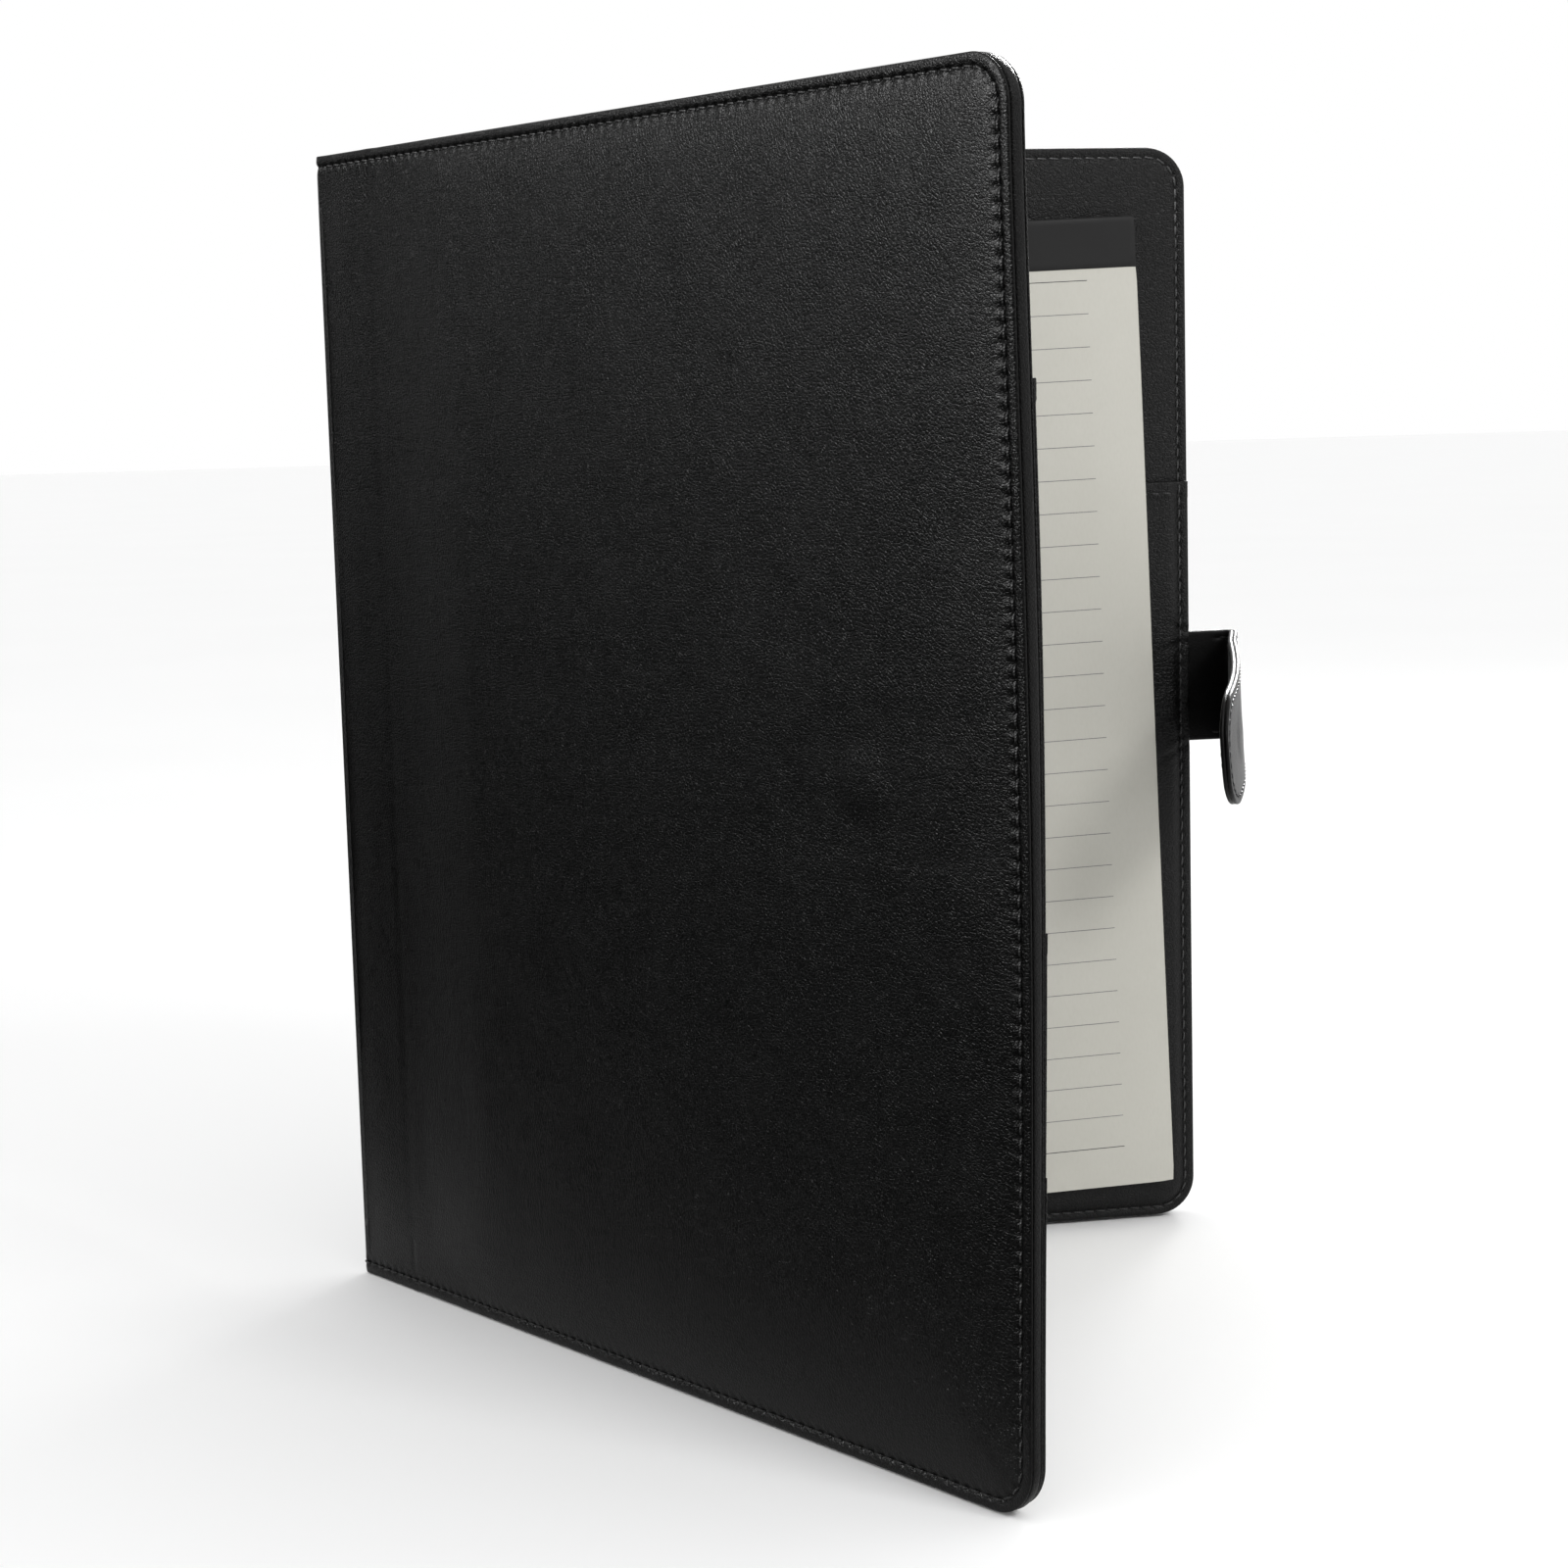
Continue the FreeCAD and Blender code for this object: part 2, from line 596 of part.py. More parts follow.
def make_strap_tab():
    """Closing tab: two leathers round a magnet, sewn round the edge."""
    outline = (dim.TabGap, dim.TabLength, strap_bottom, strap_top, dim.TabCorner)
    magnet_at = (dim.MagnetFromFold, dim.StrapMiddle)
    half = dim.MagnetThickness / 2
    outer = slab("tab_outer_leather", tab, -dim.TabLeather, dim.TabLeather, outline)
    seat = disc_sketch(outer, "outer_seat", tab, dim.TabLeather * 0, *magnet_at, dim.MagnetDiameter + 0.2)
    cut(outer, seat, tab, half)
    inner = slab("tab_inner_leather", tab, dim.TabLeather * 0, dim.TabLeather, outline)
    seat = disc_sketch(inner, "inner_seat", tab, dim.TabLeather * 0, *magnet_at, dim.MagnetDiameter + 0.2)
    cut(inner, seat, tab, half, inward=True)
    magnet = new_body("tab_magnet", tab)
    face = disc_sketch(magnet, "magnet_outline", tab, -half, *magnet_at, dim.MagnetDiameter)
    pad(magnet, face, tab, dim.MagnetThickness)
    inset = dim.SeamInset - dim.ThreadWidth
    thread = slab(
        "tab_seam_thread", tab, -dim.TabLeather - 0.2, 0.2,
        (dim.TabGap, dim.TabLength - inset, strap_bottom + inset, strap_top - inset,
         dim.TabCorner - inset),
    )
    inset = inset + dim.ThreadWidth
    inside = upright_sketch(thread, "tab_thread_inside", tab, -dim.TabLeather)
    draw_panel(
        inside, "inside", None, dim.TabLength - inset, strap_bottom + inset, strap_top - inset,
        dim.TabCorner - inset,
    )
    cut(thread, inside, tab, 0.2)
    for body in (outer, inner, magnet, thread):
        droop(body)


def make_pad():
    """A4 pad: a backing card behind the slot panel, ruled sheets in front, a binding strip."""
    card_near = -(cover_thickness / 2 + dim.CardGap + dim.CardThickness)
    sheets_back = -(cover_thickness / 2 + dim.SlotDepth + dim.LiningThickness + dim.CardGap)
    sheets_near = sheets_back - dim.SheetsThickness
    header_near = sheets_near - dim.HeaderThickness
    paper_length = dim.PadLength - dim.HeaderHeight
    pieces = {
        "pad_backing_card": (card_near, dim.CardThickness, 0, dim.PadLength),
        "pad_sheets": (sheets_near, dim.SheetsThickness, 0, paper_length),
        "pad_binding_strip": (
            header_near, card_near - header_near, paper_length, dim.HeaderHeight,
        ),
    }
    lean = Rotation(Vector(0, 1, 0), -dim.PadLean.value)
    corner = Vector(-dim.PadLeft.value, 0, dim.PadBottom.value)
    for label, (near, thickness, bottom, height) in pieces.items():
        box = doc.addObject("Part::Box", label)
        box.Label = label
        bind(box, "Length", dim.PadWidth)
        bind(box, "Width", thickness)
        bind(box, "Height", height)
        start = Vector(0, number(near), number(bottom))
        box.Placement = Placement(corner + lean.multVec(start), lean)
        sub_parts.append(box)


make_back_cover()
make_pad_slot()
make_spine()
make_front_cover()
make_front_pockets()
make_strap_bridge()
make_strap_tab()
make_pad()
doc.recompute()

for item in doc.Objects:
    if "Invalid" in item.State or "Error" in item.State:
        raise RuntimeError(f"{item.Name} failed: {item.State}")
for item in sub_parts:
    if item.Shape.isNull() or not item.Shape.isValid() or item.Shape.Volume < 1e-3:
        raise RuntimeError(f"{item.Label} has no valid shape")

os.makedirs("parts", exist_ok=True)
for item in sub_parts:
    item.Shape.exportStep(os.path.join("parts", item.Label + ".step"))
print(f"{len(sub_parts)} sub-parts written")
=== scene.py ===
"""Looks of the leather notebook cover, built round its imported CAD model.

Lengths in this script are in millimetres, and vertices are written in metres. On every panel u runs
from the crease towards the far edge, z runs up and h stands out from the panel.
"""
import json
import math

import bmesh
import bpy
import numpy as np
from mathutils import Matrix, Vector


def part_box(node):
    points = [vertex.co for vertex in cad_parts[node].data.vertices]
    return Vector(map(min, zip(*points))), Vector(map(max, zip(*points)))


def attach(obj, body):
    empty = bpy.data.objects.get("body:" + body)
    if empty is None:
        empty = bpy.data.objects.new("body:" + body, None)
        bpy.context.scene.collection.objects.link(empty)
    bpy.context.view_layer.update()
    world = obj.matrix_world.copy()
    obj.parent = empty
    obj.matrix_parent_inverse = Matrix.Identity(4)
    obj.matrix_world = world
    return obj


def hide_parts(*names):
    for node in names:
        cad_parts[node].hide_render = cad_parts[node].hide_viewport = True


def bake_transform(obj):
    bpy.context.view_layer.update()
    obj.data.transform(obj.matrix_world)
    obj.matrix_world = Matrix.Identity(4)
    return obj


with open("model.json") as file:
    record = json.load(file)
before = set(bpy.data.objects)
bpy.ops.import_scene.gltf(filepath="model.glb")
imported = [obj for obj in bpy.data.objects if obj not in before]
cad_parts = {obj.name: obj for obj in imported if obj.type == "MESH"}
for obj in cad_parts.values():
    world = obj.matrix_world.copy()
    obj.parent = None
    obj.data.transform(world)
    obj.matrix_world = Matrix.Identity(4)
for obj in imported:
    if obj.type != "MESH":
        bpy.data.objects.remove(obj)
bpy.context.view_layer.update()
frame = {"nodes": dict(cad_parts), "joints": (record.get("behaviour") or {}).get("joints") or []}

MM = 0.001

# Layers, from the middle of the outer leather: outward is positive.
SKIN = 0.45
COVER_DEPTH = 4.45
SPINE_DEPTH = 1.95
FOLD_DEPTH = 0.45
LINING = 0.8
CORNER = 12.0

# Seams.
SEAM_INSET = 3.2
PITCH = 3.7
STITCH_LENGTH = 2.9
STITCH_RADIUS = 0.3

# Grids: spacing of the interior and how many finer steps the sewn border has in each.
BORDER = 14.4
SKIN_STEP, SKIN_FINE = 2.4, 4
LINING_STEP, LINING_FINE = 4.8, 6

FOLD_RADIUS = 0.75
SPLIT = 3.2

# The front cover's fore edge is bent inwards, most of all a little below its middle.
BOW, BOW_REACH, BOW_TOP = 2.8, 255.0, 315.0
# Towards its foot the sewn edge is pressed thinner. The first pair is measured from the bowed
# edge's reach, the second up from the floor: where pressing starts and where it is full.
EDGE_PRESS = 0.26
PRESS_START, PRESS_FULL = 22, 3
PRESS_TOP, PRESS_FOOT = 230, 40


def joint_point(name):
    found = next(j for j in frame["joints"] if j["name"] == name)
    return np.array(found["pos_m"][:2]) / MM


def unit(v):
    return np.asarray(v, float) / np.linalg.norm(v)


def left_of(v):
    return np.array([-v[1], v[0]])


def smooth(x, low, high):
    """0 below low, 1 above high and an even ramp between."""
    t = np.clip((np.asarray(x, float) - low) / (high - low), 0, 1)
    return t * t * (3 - 2 * t)


def bell(x, width):
    return np.exp(-((np.asarray(x, float) / width) ** 2))


def lattice(ix, iy, seed):
    """A repeatable number from 0 to 1 at every whole point."""
    n = (ix.astype(np.int64) * 374761393 + iy.astype(np.int64) * 668265263 + seed * 974711) & 0xFFFFFFFF
    n = ((n ^ (n >> 13)) * 1274126177) & 0xFFFFFFFF
    return ((n ^ (n >> 16)) & 0xFFFF) / 65535.0


def ripple(x, y, seed):
    """A smooth random field from -1 to 1, with features about one unit across."""
    x, y = np.asarray(x, float), np.asarray(y, float)
    ix, iy = np.floor(x), np.floor(y)
    fx, fy = x - ix, y - iy
    fx, fy = fx * fx * (3 - 2 * fx), fy * fy * (3 - 2 * fy)
    low = lattice(ix, iy, seed) * (1 - fx) + lattice(ix + 1, iy, seed) * fx
    high = lattice(ix, iy + 1, seed) * (1 - fx) + lattice(ix + 1, iy + 1, seed) * fx
    return 2 * (low * (1 - fy) + high * fy) - 1


class Flat:
    """A straight panel seen from above."""

    def __init__(self, origin, along):
        self.origin, self.along, self.outward = origin, along, None

    def facing(self, outward):
        self.outward = outward
        return self

    def place(self, u, z, h):
        u, z, h = np.broadcast_arrays(np.asarray(u, float), z, h)
        flat = self.origin + u[..., None] * self.along + h[..., None] * self.outward
        return np.concatenate([flat, z[..., None]], axis=-1)

    def local(self, points):
        """u and h of points given in the CAD frame."""
        rel = points[:, :2] - self.origin
        return rel @ self.along, rel @ self.outward


class Bowed(Flat):
    """A panel whose far edge has bent inwards between its corners."""

    def place(self, u, z, h):
        along = np.clip(np.asarray(u, float) / BOW_REACH, 0, 1) ** 1.6
        up = np.sin(np.clip(np.asarray(z, float) / BOW_TOP, 0, 1) * math.pi) ** 1.3
        at_edge = smooth(u, BOW_REACH - PRESS_START, BOW_REACH - PRESS_FULL)
        low_down = smooth(-np.asarray(z, float), -PRESS_TOP, -PRESS_FOOT)
        pressed = EDGE_PRESS * at_edge * low_down
        return super().place(u, z, h * (1 - pressed) - BOW * along * up)


class Bend:
    """A path seen from above: straight, round one clockwise fold, straight again.

    u is 0 in the middle of the fold, and the left of the path is outward.
    """

    def __init__(self, corner, before, after, radius):
        self.corner, self.before, self.after, self.radius = corner, before, after, radius
        self.turn = math.acos(float(np.clip(before @ after, -1, 1)))
        self.reach = radius * math.tan(self.turn / 2)
        self.half_arc = radius * self.turn / 2
        self.centre = corner - before * self.reach - left_of(before) * radius

    def at(self, distance):
        """u of the point at a distance from the corner, along either leg."""
        return math.copysign(abs(distance) - self.reach + self.half_arc, distance)

    def place(self, u, z, h):
        u, z, h = np.broadcast_arrays(np.asarray(u, float), z, h)
        swing = np.clip((u + self.half_arc) / self.radius, 0, self.turn)
        cos, sin = np.cos(-swing), np.sin(-swing)
        start = left_of(self.before)
        normal = np.stack([start[0] * cos - start[1] * sin, start[0] * sin + start[1] * cos], axis=-1)
        before = np.minimum(u + self.half_arc, 0)[..., None] * self.before
        after = np.maximum(u - self.half_arc, 0)[..., None] * self.after
        flat = self.centre + normal * (self.radius + h)[..., None] + before + after
        return np.concatenate([flat, z[..., None]], axis=-1)


A = joint_point("back_hinge")
B = joint_point("front_hinge")
R = joint_point("strap_root")
Q = joint_point("strap_bend")
ACROSS = unit(B - A)
INWARD = np.array([-ACROSS[1], ACROSS[0]])
BACK_ALONG = np.array([1.0, 0.0])

FRONT = Bowed(B, ACROSS).facing(-INWARD)
BACK = Flat(A, BACK_ALONG).facing(np.array([0.0, 1.0]))
FOLD = Bend(A, -ACROSS, BACK_ALONG, FOLD_RADIUS)


def node_points(name):
    mesh = frame["nodes"][name].data
    co = np.empty(len(mesh.vertices) * 3, np.float32)
    mesh.vertices.foreach_get("co", co)
    return co.reshape(-1, 3).astype(float) / MM


def reach_of(name, panel):
    """How far a node reaches along a panel: lowest and highest u, and the same of z."""
    points = node_points(name)
    u, _ = panel.local(points)
    return u.min(), u.max(), points[:, 2].min(), points[:, 2].max()


FRONT_WIDTH = reach_of("front_outer_leather", FRONT)[1]
BACK_WIDTH = reach_of("back_outer_leather", BACK)[1]
HEIGHT = reach_of("back_outer_leather", BACK)[3]
SPINE_WIDTH = float(np.linalg.norm(B - A))


# Mesh building ------------------------------------------------------------------------------


def make_object(name, vertices, faces, material, panel_space=None, sharp=50):
    """An object from millimetre vertices; panel_space is where each lies on the unfolded leather."""
    mesh = bpy.data.meshes.new(name)
    mesh.from_pydata((np.asarray(vertices) * MM).tolist(), [], faces)
    work = bmesh.new()
    work.from_mesh(mesh)
    bmesh.ops.recalc_face_normals(work, faces=work.faces)
    work.to_mesh(mesh)
    work.free()
    mesh.polygons.foreach_set("use_smooth", np.ones(len(mesh.polygons), bool))
    mesh.set_sharp_from_angle(angle=math.radians(sharp))
    if panel_space is None:
        panel_space = vertices
    layer = mesh.attributes.new("panel", "FLOAT_VECTOR", "POINT")
    layer.data.foreach_set("vector", (np.asarray(panel_space, np.float32) * MM).ravel())
    mesh.materials.append(material)
    item = bpy.data.objects.new(name, mesh)
    bpy.context.scene.collection.objects.link(item)
    return item


class Outline:
    """A panel sewn along its bottom, fore and top edges; its fore corners are round."""

    def __init__(self, start, width, top, bottom=0.0, radius=CORNER, square_top=False):
        self.start, self.width, self.bottom, self.top = start, width, bottom, top
        self.radius, self.square_top = radius, square_top

    def ring(self, inset, n_across, n_up):
        """Points on the outline moved inwards, from the start along the bottom and up and back."""
        r = max(self.radius - inset, 0.0)
        r_top = 0.0 if self.square_top else r
        fore, low, high = self.width - inset, self.bottom + inset, self.top - inset
        flat_low, flat_high = fore - r - self.start, fore - r_top - self.start
        side = high - low - r - r_top
        turn_low, turn_high = r * math.pi / 2, r_top * math.pi / 2
        runs = [flat_low + turn_low / 2, turn_low / 2 + side + turn_high / 2, turn_high / 2 + flat_high]
        a = np.concatenate([
            np.linspace(0, runs[0], n_across + 1),
            runs[0] + np.linspace(0, runs[1], n_up + 1)[1:],
            runs[0] + runs[1] + np.linspace(0, runs[2], n_across + 1)[1:],
        ])
        q1 = a - flat_low
        q2 = q1 - turn_low
        q3 = q2 - side
        q4 = q3 - turn_high
        low_angle = np.clip(q1, 0, turn_low) / max(r, 1e-9) - math.pi / 2
        high_angle = np.clip(q3, 0, turn_high) / max(r_top, 1e-9)
        u = np.where(q1 <= 0, self.start + a, fore - r + r * np.cos(low_angle))
        z = np.where(q1 <= 0, low, low + r + r * np.sin(low_angle))
        z = np.where(q2 > 0, low + r + q2, z)
        u = np.where(q2 > 0, fore, u)
        on_turn = q3 > 0
        u = np.where(on_turn, fore - r_top + r_top * np.cos(high_angle), u)
        z = np.where(on_turn, high - r_top + r_top * np.sin(high_angle), z)
        u = np.where(q4 > 0, fore - r_top - q4, u)
        z = np.where(q4 > 0, high, z)
        return u, z


class Seam:
    """Distance from the cover's edge and length along its seam, for any point of a cover."""

    def __init__(self, start, width):
        self.start, self.width = start, width
        self.turn = (CORNER - SEAM_INSET) * math.pi / 2
        self.flat = width - CORNER - start
        self.side = HEIGHT - 2 * CORNER
        self.length = 2 * self.flat + 2 * self.turn + self.side

    def coordinates(self, u, z):
        u, z = np.broadcast_arrays(np.asarray(u, float), np.asarray(z, float))
        to_low, to_high, to_fore = z, HEIGHT - z, self.width - u
        inset = np.minimum(np.minimum(to_low, to_high), to_fore)
        mid = HEIGHT / 2
        up = self.flat + self.turn + (z - CORNER)
        s = np.where(
            to_fore <= np.minimum(to_low, to_high), up,
            np.where(z < mid, u - self.start, self.length - (u - self.start)),
        )
        centre_z = np.where(z < mid, CORNER, HEIGHT - CORNER)
        du, dz = u - (self.width - CORNER), z - centre_z
        in_corner = (du > 0) & (np.abs(z - mid) > mid - CORNER)
        angle = np.arctan2(np.abs(dz), np.maximum(du, 1e-9))
        inset = np.where(in_corner, CORNER - np.hypot(du, dz), inset)
        swung = (CORNER - SEAM_INSET) * (math.pi / 2 - angle)
        corner_s = np.where(z < mid, self.flat + swung, self.length - self.flat - swung)
        return inset, np.where(in_corner, corner_s, s)

    def point(self, s):
        """u, z and the direction of travel at a length along the seam."""
        s = np.asarray(s, float)
        r = CORNER - SEAM_INSET
        q1, q2 = s - self.flat, s - self.flat - self.turn
        q3 = q2 - self.side
        q4 = q3 - self.turn
        angle = np.clip(q1, 0, self.turn) / r + np.clip(q3, 0, self.turn) / r
        u_turn = self.width - CORNER + r * np.sin(angle)
        u = np.where(q1 < 0, self.start + s, np.where(q4 > 0, self.width - CORNER - q4, u_turn))
        z_low = CORNER - r * np.cos(angle) + np.clip(q2, 0, self.side)
        z_high = HEIGHT - CORNER - r * np.cos(angle)
        z = np.where(q3 > 0, z_high, z_low)
        return u, z, angle


def panel_object(name, outline, step, fine, profile, over, under, place, material):
    """A closed panel: rings round its sewn border, a plain grid inside, and the same underneath.

    profile lists (inset, level) from the underside, level 0, round the edge to the face, level 1.
    over and under give the two faces' heights.
    """
    border = profile[-1][0]
    across = max(2, round((outline.width - border - outline.start) / step))
    up = max(2, round((outline.top - outline.bottom - 2 * border) / step))
    n = fine * (2 * across + up) + 1
    spots, levels = [], []
    for inset, level in profile:
        spots.append(np.stack(outline.ring(inset, fine * across, fine * up), axis=1))
        levels.append(np.full(n, float(level)))
    count = n * len(profile)
    faces = []

    def quads(i, j):
        k = np.arange(n - 1)
        return np.stack([i * n + k, i * n + k + 1, j * n + k + 1, j * n + k], axis=1).tolist()

    for ring in range(len(profile) - 1):
        faces += quads(ring, ring + 1)
    inner = spots[-1]
    low_side = inner[:fine * across + 1:fine]
    fore_side = inner[fine * across:fine * (across + up) + 1:fine]
    high_side = inner[:fine * (across + up) - 1:-fine]
    v = np.linspace(0, 1, up + 1)[None, :, None]
    w = np.linspace(0, 1, across + 1)[:, None, None]
    start_side = (low_side[0] + (high_side[0] - low_side[0]) * v[0])[None]
    patch = (1 - v) * low_side[:, None] + v * high_side[:, None] + (1 - w) * start_side
    patch = patch + w * fore_side[None]
    corners = (1 - v) * low_side[0] + v * high_side[0], (1 - v) * low_side[-1] + v * high_side[-1]
    patch = patch - (1 - w) * corners[0] - w * corners[1]
    columns = []
    for ring, level, facing in ((len(profile) - 1, 1.0, 1), (0, 0.0, -1)):
        grid = np.empty((across + 1, up + 1), int)
        base = ring * n
        grid[:, 0] = base + fine * np.arange(across + 1)
        grid[across, :] = base + fine * (across + np.arange(up + 1))
        grid[:, up] = base + fine * (2 * across + up - np.arange(across + 1))
        grid[:across, 1:up] = count + np.arange(across * (up - 1)).reshape(across, up - 1)
        count += across * (up - 1)
        spots.append(patch[:across, 1:up].reshape(-1, 2))
        levels.append(np.full(across * (up - 1), level))
        columns.append(grid[0, :])
        for i in range(across):
            for j in range(up):
                low = list(range(grid[i, 0], grid[i + 1, 0])) if j == 0 else [grid[i, j]]
                right = [grid[i + 1, j]]
                if i == across - 1:
                    right = list(range(grid[across, j], grid[across, j + 1]))
                high = [grid[i + 1, j + 1]]
                if j == up - 1:
                    high = list(range(grid[i + 1, up], grid[i, up]))
                face = [int(v) for v in low + right + high + [grid[i, j + 1]]]
                faces.append(face[::facing])
    last = len(profile) - 1
    faces.append([r * n for r in range(last, -1, -1)])
    faces.append([r * n + n - 1 for r in range(last + 1)])
    face_column, under_column = columns
    for j in range(up):
        faces.append([int(v) for v in (
            face_column[j], face_column[j + 1], under_column[j + 1], under_column[j],
        )])
    spots, levels = np.concatenate(spots), np.concatenate(levels)
    u, z = spots[:, 0], spots[:, 1]
    low, high = under(u, z), over(u, z)
    h = low + (high - low) * levels
    return make_object(name, place(u, z, h), faces, material, np.stack([u, z, h], axis=1))


def level_at(height):
    """A face at one height all over."""
    return lambda u, z: np.full(np.shape(u), height)


def stitch_object(
    name, centres, travels, normals, material, length=STITCH_LENGTH, radius=STITCH_RADIUS,
):
    """Short slanted thread stitches that dive into their needle holes at both ends."""
    steps = np.array([-1.0, -0.86, -0.5, 0.0, 0.5, 0.86, 1.0])
    girth = np.array([0.45, 0.85, 1.0, 1.0, 1.0, 0.85, 0.45]) * radius
    dive = -0.75 * radius * np.abs(steps) ** 3 - 1.1 * radius * np.abs(steps) ** 8
    sides = 8
    around = np.linspace(0, 2 * math.pi, sides, endpoint=False)
    centres, travels, normals = (np.asarray(a, float) for a in (centres, travels, normals))
    across = np.cross(travels, normals)
    slant = 0.09
    t = steps * length / 2
    spine = centres[:, None, :] + t[None, :, None] * travels[:, None, :]
    spine = spine + dive[None, :, None] * normals[:, None, :]
    spine = spine + (slant * t)[None, :, None] * across[:, None, :]
    ring = np.cos(around)[None, None, :, None] * normals[:, None, None, :]
    ring = ring + np.sin(around)[None, None, :, None] * across[:, None, None, :]
    points = spine[:, :, None, :] + girth[None, :, None, None] * ring
    count, rows = len(centres), len(steps)
    vertices = points.reshape(-1, 3)
    faces = []
    for c in range(count):
        base = c * rows * sides
        for r in range(rows - 1):
            for k in range(sides):
                a, b = base + r * sides + k, base + r * sides + (k + 1) % sides
                faces.append([a, b, b + sides, a + sides])
        faces.append([base + k for k in range(sides)][::-1])
        faces.append([base + (rows - 1) * sides + k for k in range(sides)])
    along = np.zeros((count, rows, sides, 3))
    along[..., 0] = t[None, :, None] + np.arange(count)[:, None, None] * PITCH
    along[..., 1] = (around * radius)[None, None, :]
    return make_object(name, vertices, faces, material, along.reshape(-1, 3), sharp=80)


def surface_frame(place, height, u, z, angle):
    """Centres, travels and normals for stitches that lie on a surface at u, z.

    angle is the direction of travel from +u towards +z.
    """
    step = 0.3
    du, dz = np.cos(angle) * step, np.sin(angle) * step
    centre = place(u, z, height(u, z))
    ahead = place(u + du, z + dz, height(u, z))
    up = place(u, z, height(u, z) + step)
    travel = ahead - centre
    travel = travel / np.linalg.norm(travel, axis=1, keepdims=True)
    normal = up - centre
    normal = normal / np.linalg.norm(normal, axis=1, keepdims=True)
    return centre, travel, normal


# Relief -------------------------------------------------------------------------------------


def sewn_relief(inset, s, pull=1.0):
    """What the seam does to soft leather: a channel, needle holes and the gathers between them."""
    holes = np.cos(2 * math.pi * s / PITCH)
    channel = -0.30 * bell(inset - SEAM_INSET, 0.6)
    needle = -0.20 * holes * bell(inset - SEAM_INSET, 0.75)
    gathers = -0.12 * holes * bell(inset - SEAM_INSET - 1.0, 0.9) * (inset > SEAM_INSET)
    bead = 0.12 * bell(inset - 1.7, 0.8)
    return pull * (channel + needle + gathers + bead)


def crown(inset, height, spread=4.5):
    """Padding that rises from the seam."""
    return height * (1 - np.exp(-np.maximum(inset - SEAM_INSET, 0) / spread))


front_seam = Seam(SPLIT - SPINE_WIDTH, FRONT_WIDTH)
back_seam = Seam(FOLD.at(-SPLIT), FOLD.at(BACK_WIDTH))

STRAP_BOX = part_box("strap_anchor")
STRAP_LIFT = 1.2
STRAP_LOW, STRAP_HIGH = STRAP_BOX[0][2] / MM, STRAP_BOX[1][2] / MM + STRAP_LIFT
STRAP_MIDDLE = (STRAP_LOW + STRAP_HIGH) / 2
STRAP_HALF = (STRAP_HIGH - STRAP_LOW) / 2
TAB_LENGTH = 77.0
DISC_INSET = 52.0
MARK_END = FRONT_WIDTH - TAB_LENGTH
DISC_AT = FRONT_WIDTH - DISC_INSET


def closure_mark(u, z):
    """The faint mark that the closed tab and its magnet press into the front cover."""
    centre_u = MARK_END + STRAP_HALF
    du = np.minimum(u - centre_u, 0)
    edge = np.hypot(du, z - STRAP_MIDDLE) - STRAP_HALF
    groove = -0.16 * bell(edge, 1.6) * smooth(FRONT_WIDTH - u, 10, 24)
    inside = -0.10 * smooth(-edge, 0, 3) * smooth(FRONT_WIDTH - u, 10, 24)
    rho = np.hypot(u - DISC_AT, z - STRAP_MIDDLE)
    return groove + inside + 0.34 * (1 - smooth(rho, 4.5, 9.5)) - 0.1 * bell(rho - 10.5, 1.6)


def soft_waves(u, z, seed):
    """Slack in the leather: long shallow waves over the padding."""
    return 0.16 * ripple(u / 46, z / 58, seed) + 0.09 * ripple(u / 21 + z / 90, z / 27, seed + 1)


def fan_wrinkles(u, z, seed):
    """Short flowing creases near the top edge and the upper fore edge."""
    near_top = smooth(z, HEIGHT - 75, HEIGHT - 12)
    near_fore = smooth(u, FRONT_WIDTH - 70, FRONT_WIDTH - 8) * smooth(z, 120, 260)
    bend = u / 7.5 + 1.1 * ripple(u / 35, z / 35, seed)
    lines = ripple(bend, z / 38 + 0.4 * ripple(u / 18, z / 22, seed + 4), seed + 2)
    rows = ripple(u / 30, z / 6.5 + ripple(u / 24, z / 30, seed + 5), seed + 3)
    return 0.06 * near_top * lines + 0.05 * near_fore * rows


def front_depth(u, z):
    rise = FOLD_DEPTH + (COVER_DEPTH - FOLD_DEPTH) * smooth(u, 0.8, 4.4)
    spine = FOLD_DEPTH + (SPINE_DEPTH - FOLD_DEPTH) * smooth(-u, 0.8, 4.4)
    spine = spine - (SPINE_DEPTH - 0.7) * smooth(-u, SPINE_WIDTH - 6.2, SPINE_WIDTH - SPLIT - 0.2)
    return -(rise + spine - FOLD_DEPTH)


def front_face(u, z):
    inset, s = front_seam.coordinates(u, z)
    on_cover = smooth(u, 0.0, 45.0)
    on_spine = smooth(-u, 0.0, 12.0) * smooth(u + SPINE_WIDTH, SPLIT, 12.0)
    h = SKIN + sewn_relief(inset, s)
    h = h + (crown(inset, 0.9) + crown(inset, 1.1, 15.0)) * on_cover + crown(inset, 0.2) * on_spine
    h = h - 0.14 * bell(u, 1.0) * smooth(inset, 2.0, 7.0)
    inner = smooth(inset, 4.0, 12.0)
    h = h + inner * (soft_waves(u, z, 11) + fan_wrinkles(u, z, 31)) * smooth(np.abs(u), 0, 10)
    return h + closure_mark(u, z)


def back_depth(u, z):
    reach = np.abs(u)
    return -(FOLD_DEPTH + 0.25 * smooth(reach, 1.0, 3.0) + (COVER_DEPTH - 0.7) * smooth(u, 2.2, 10.0))


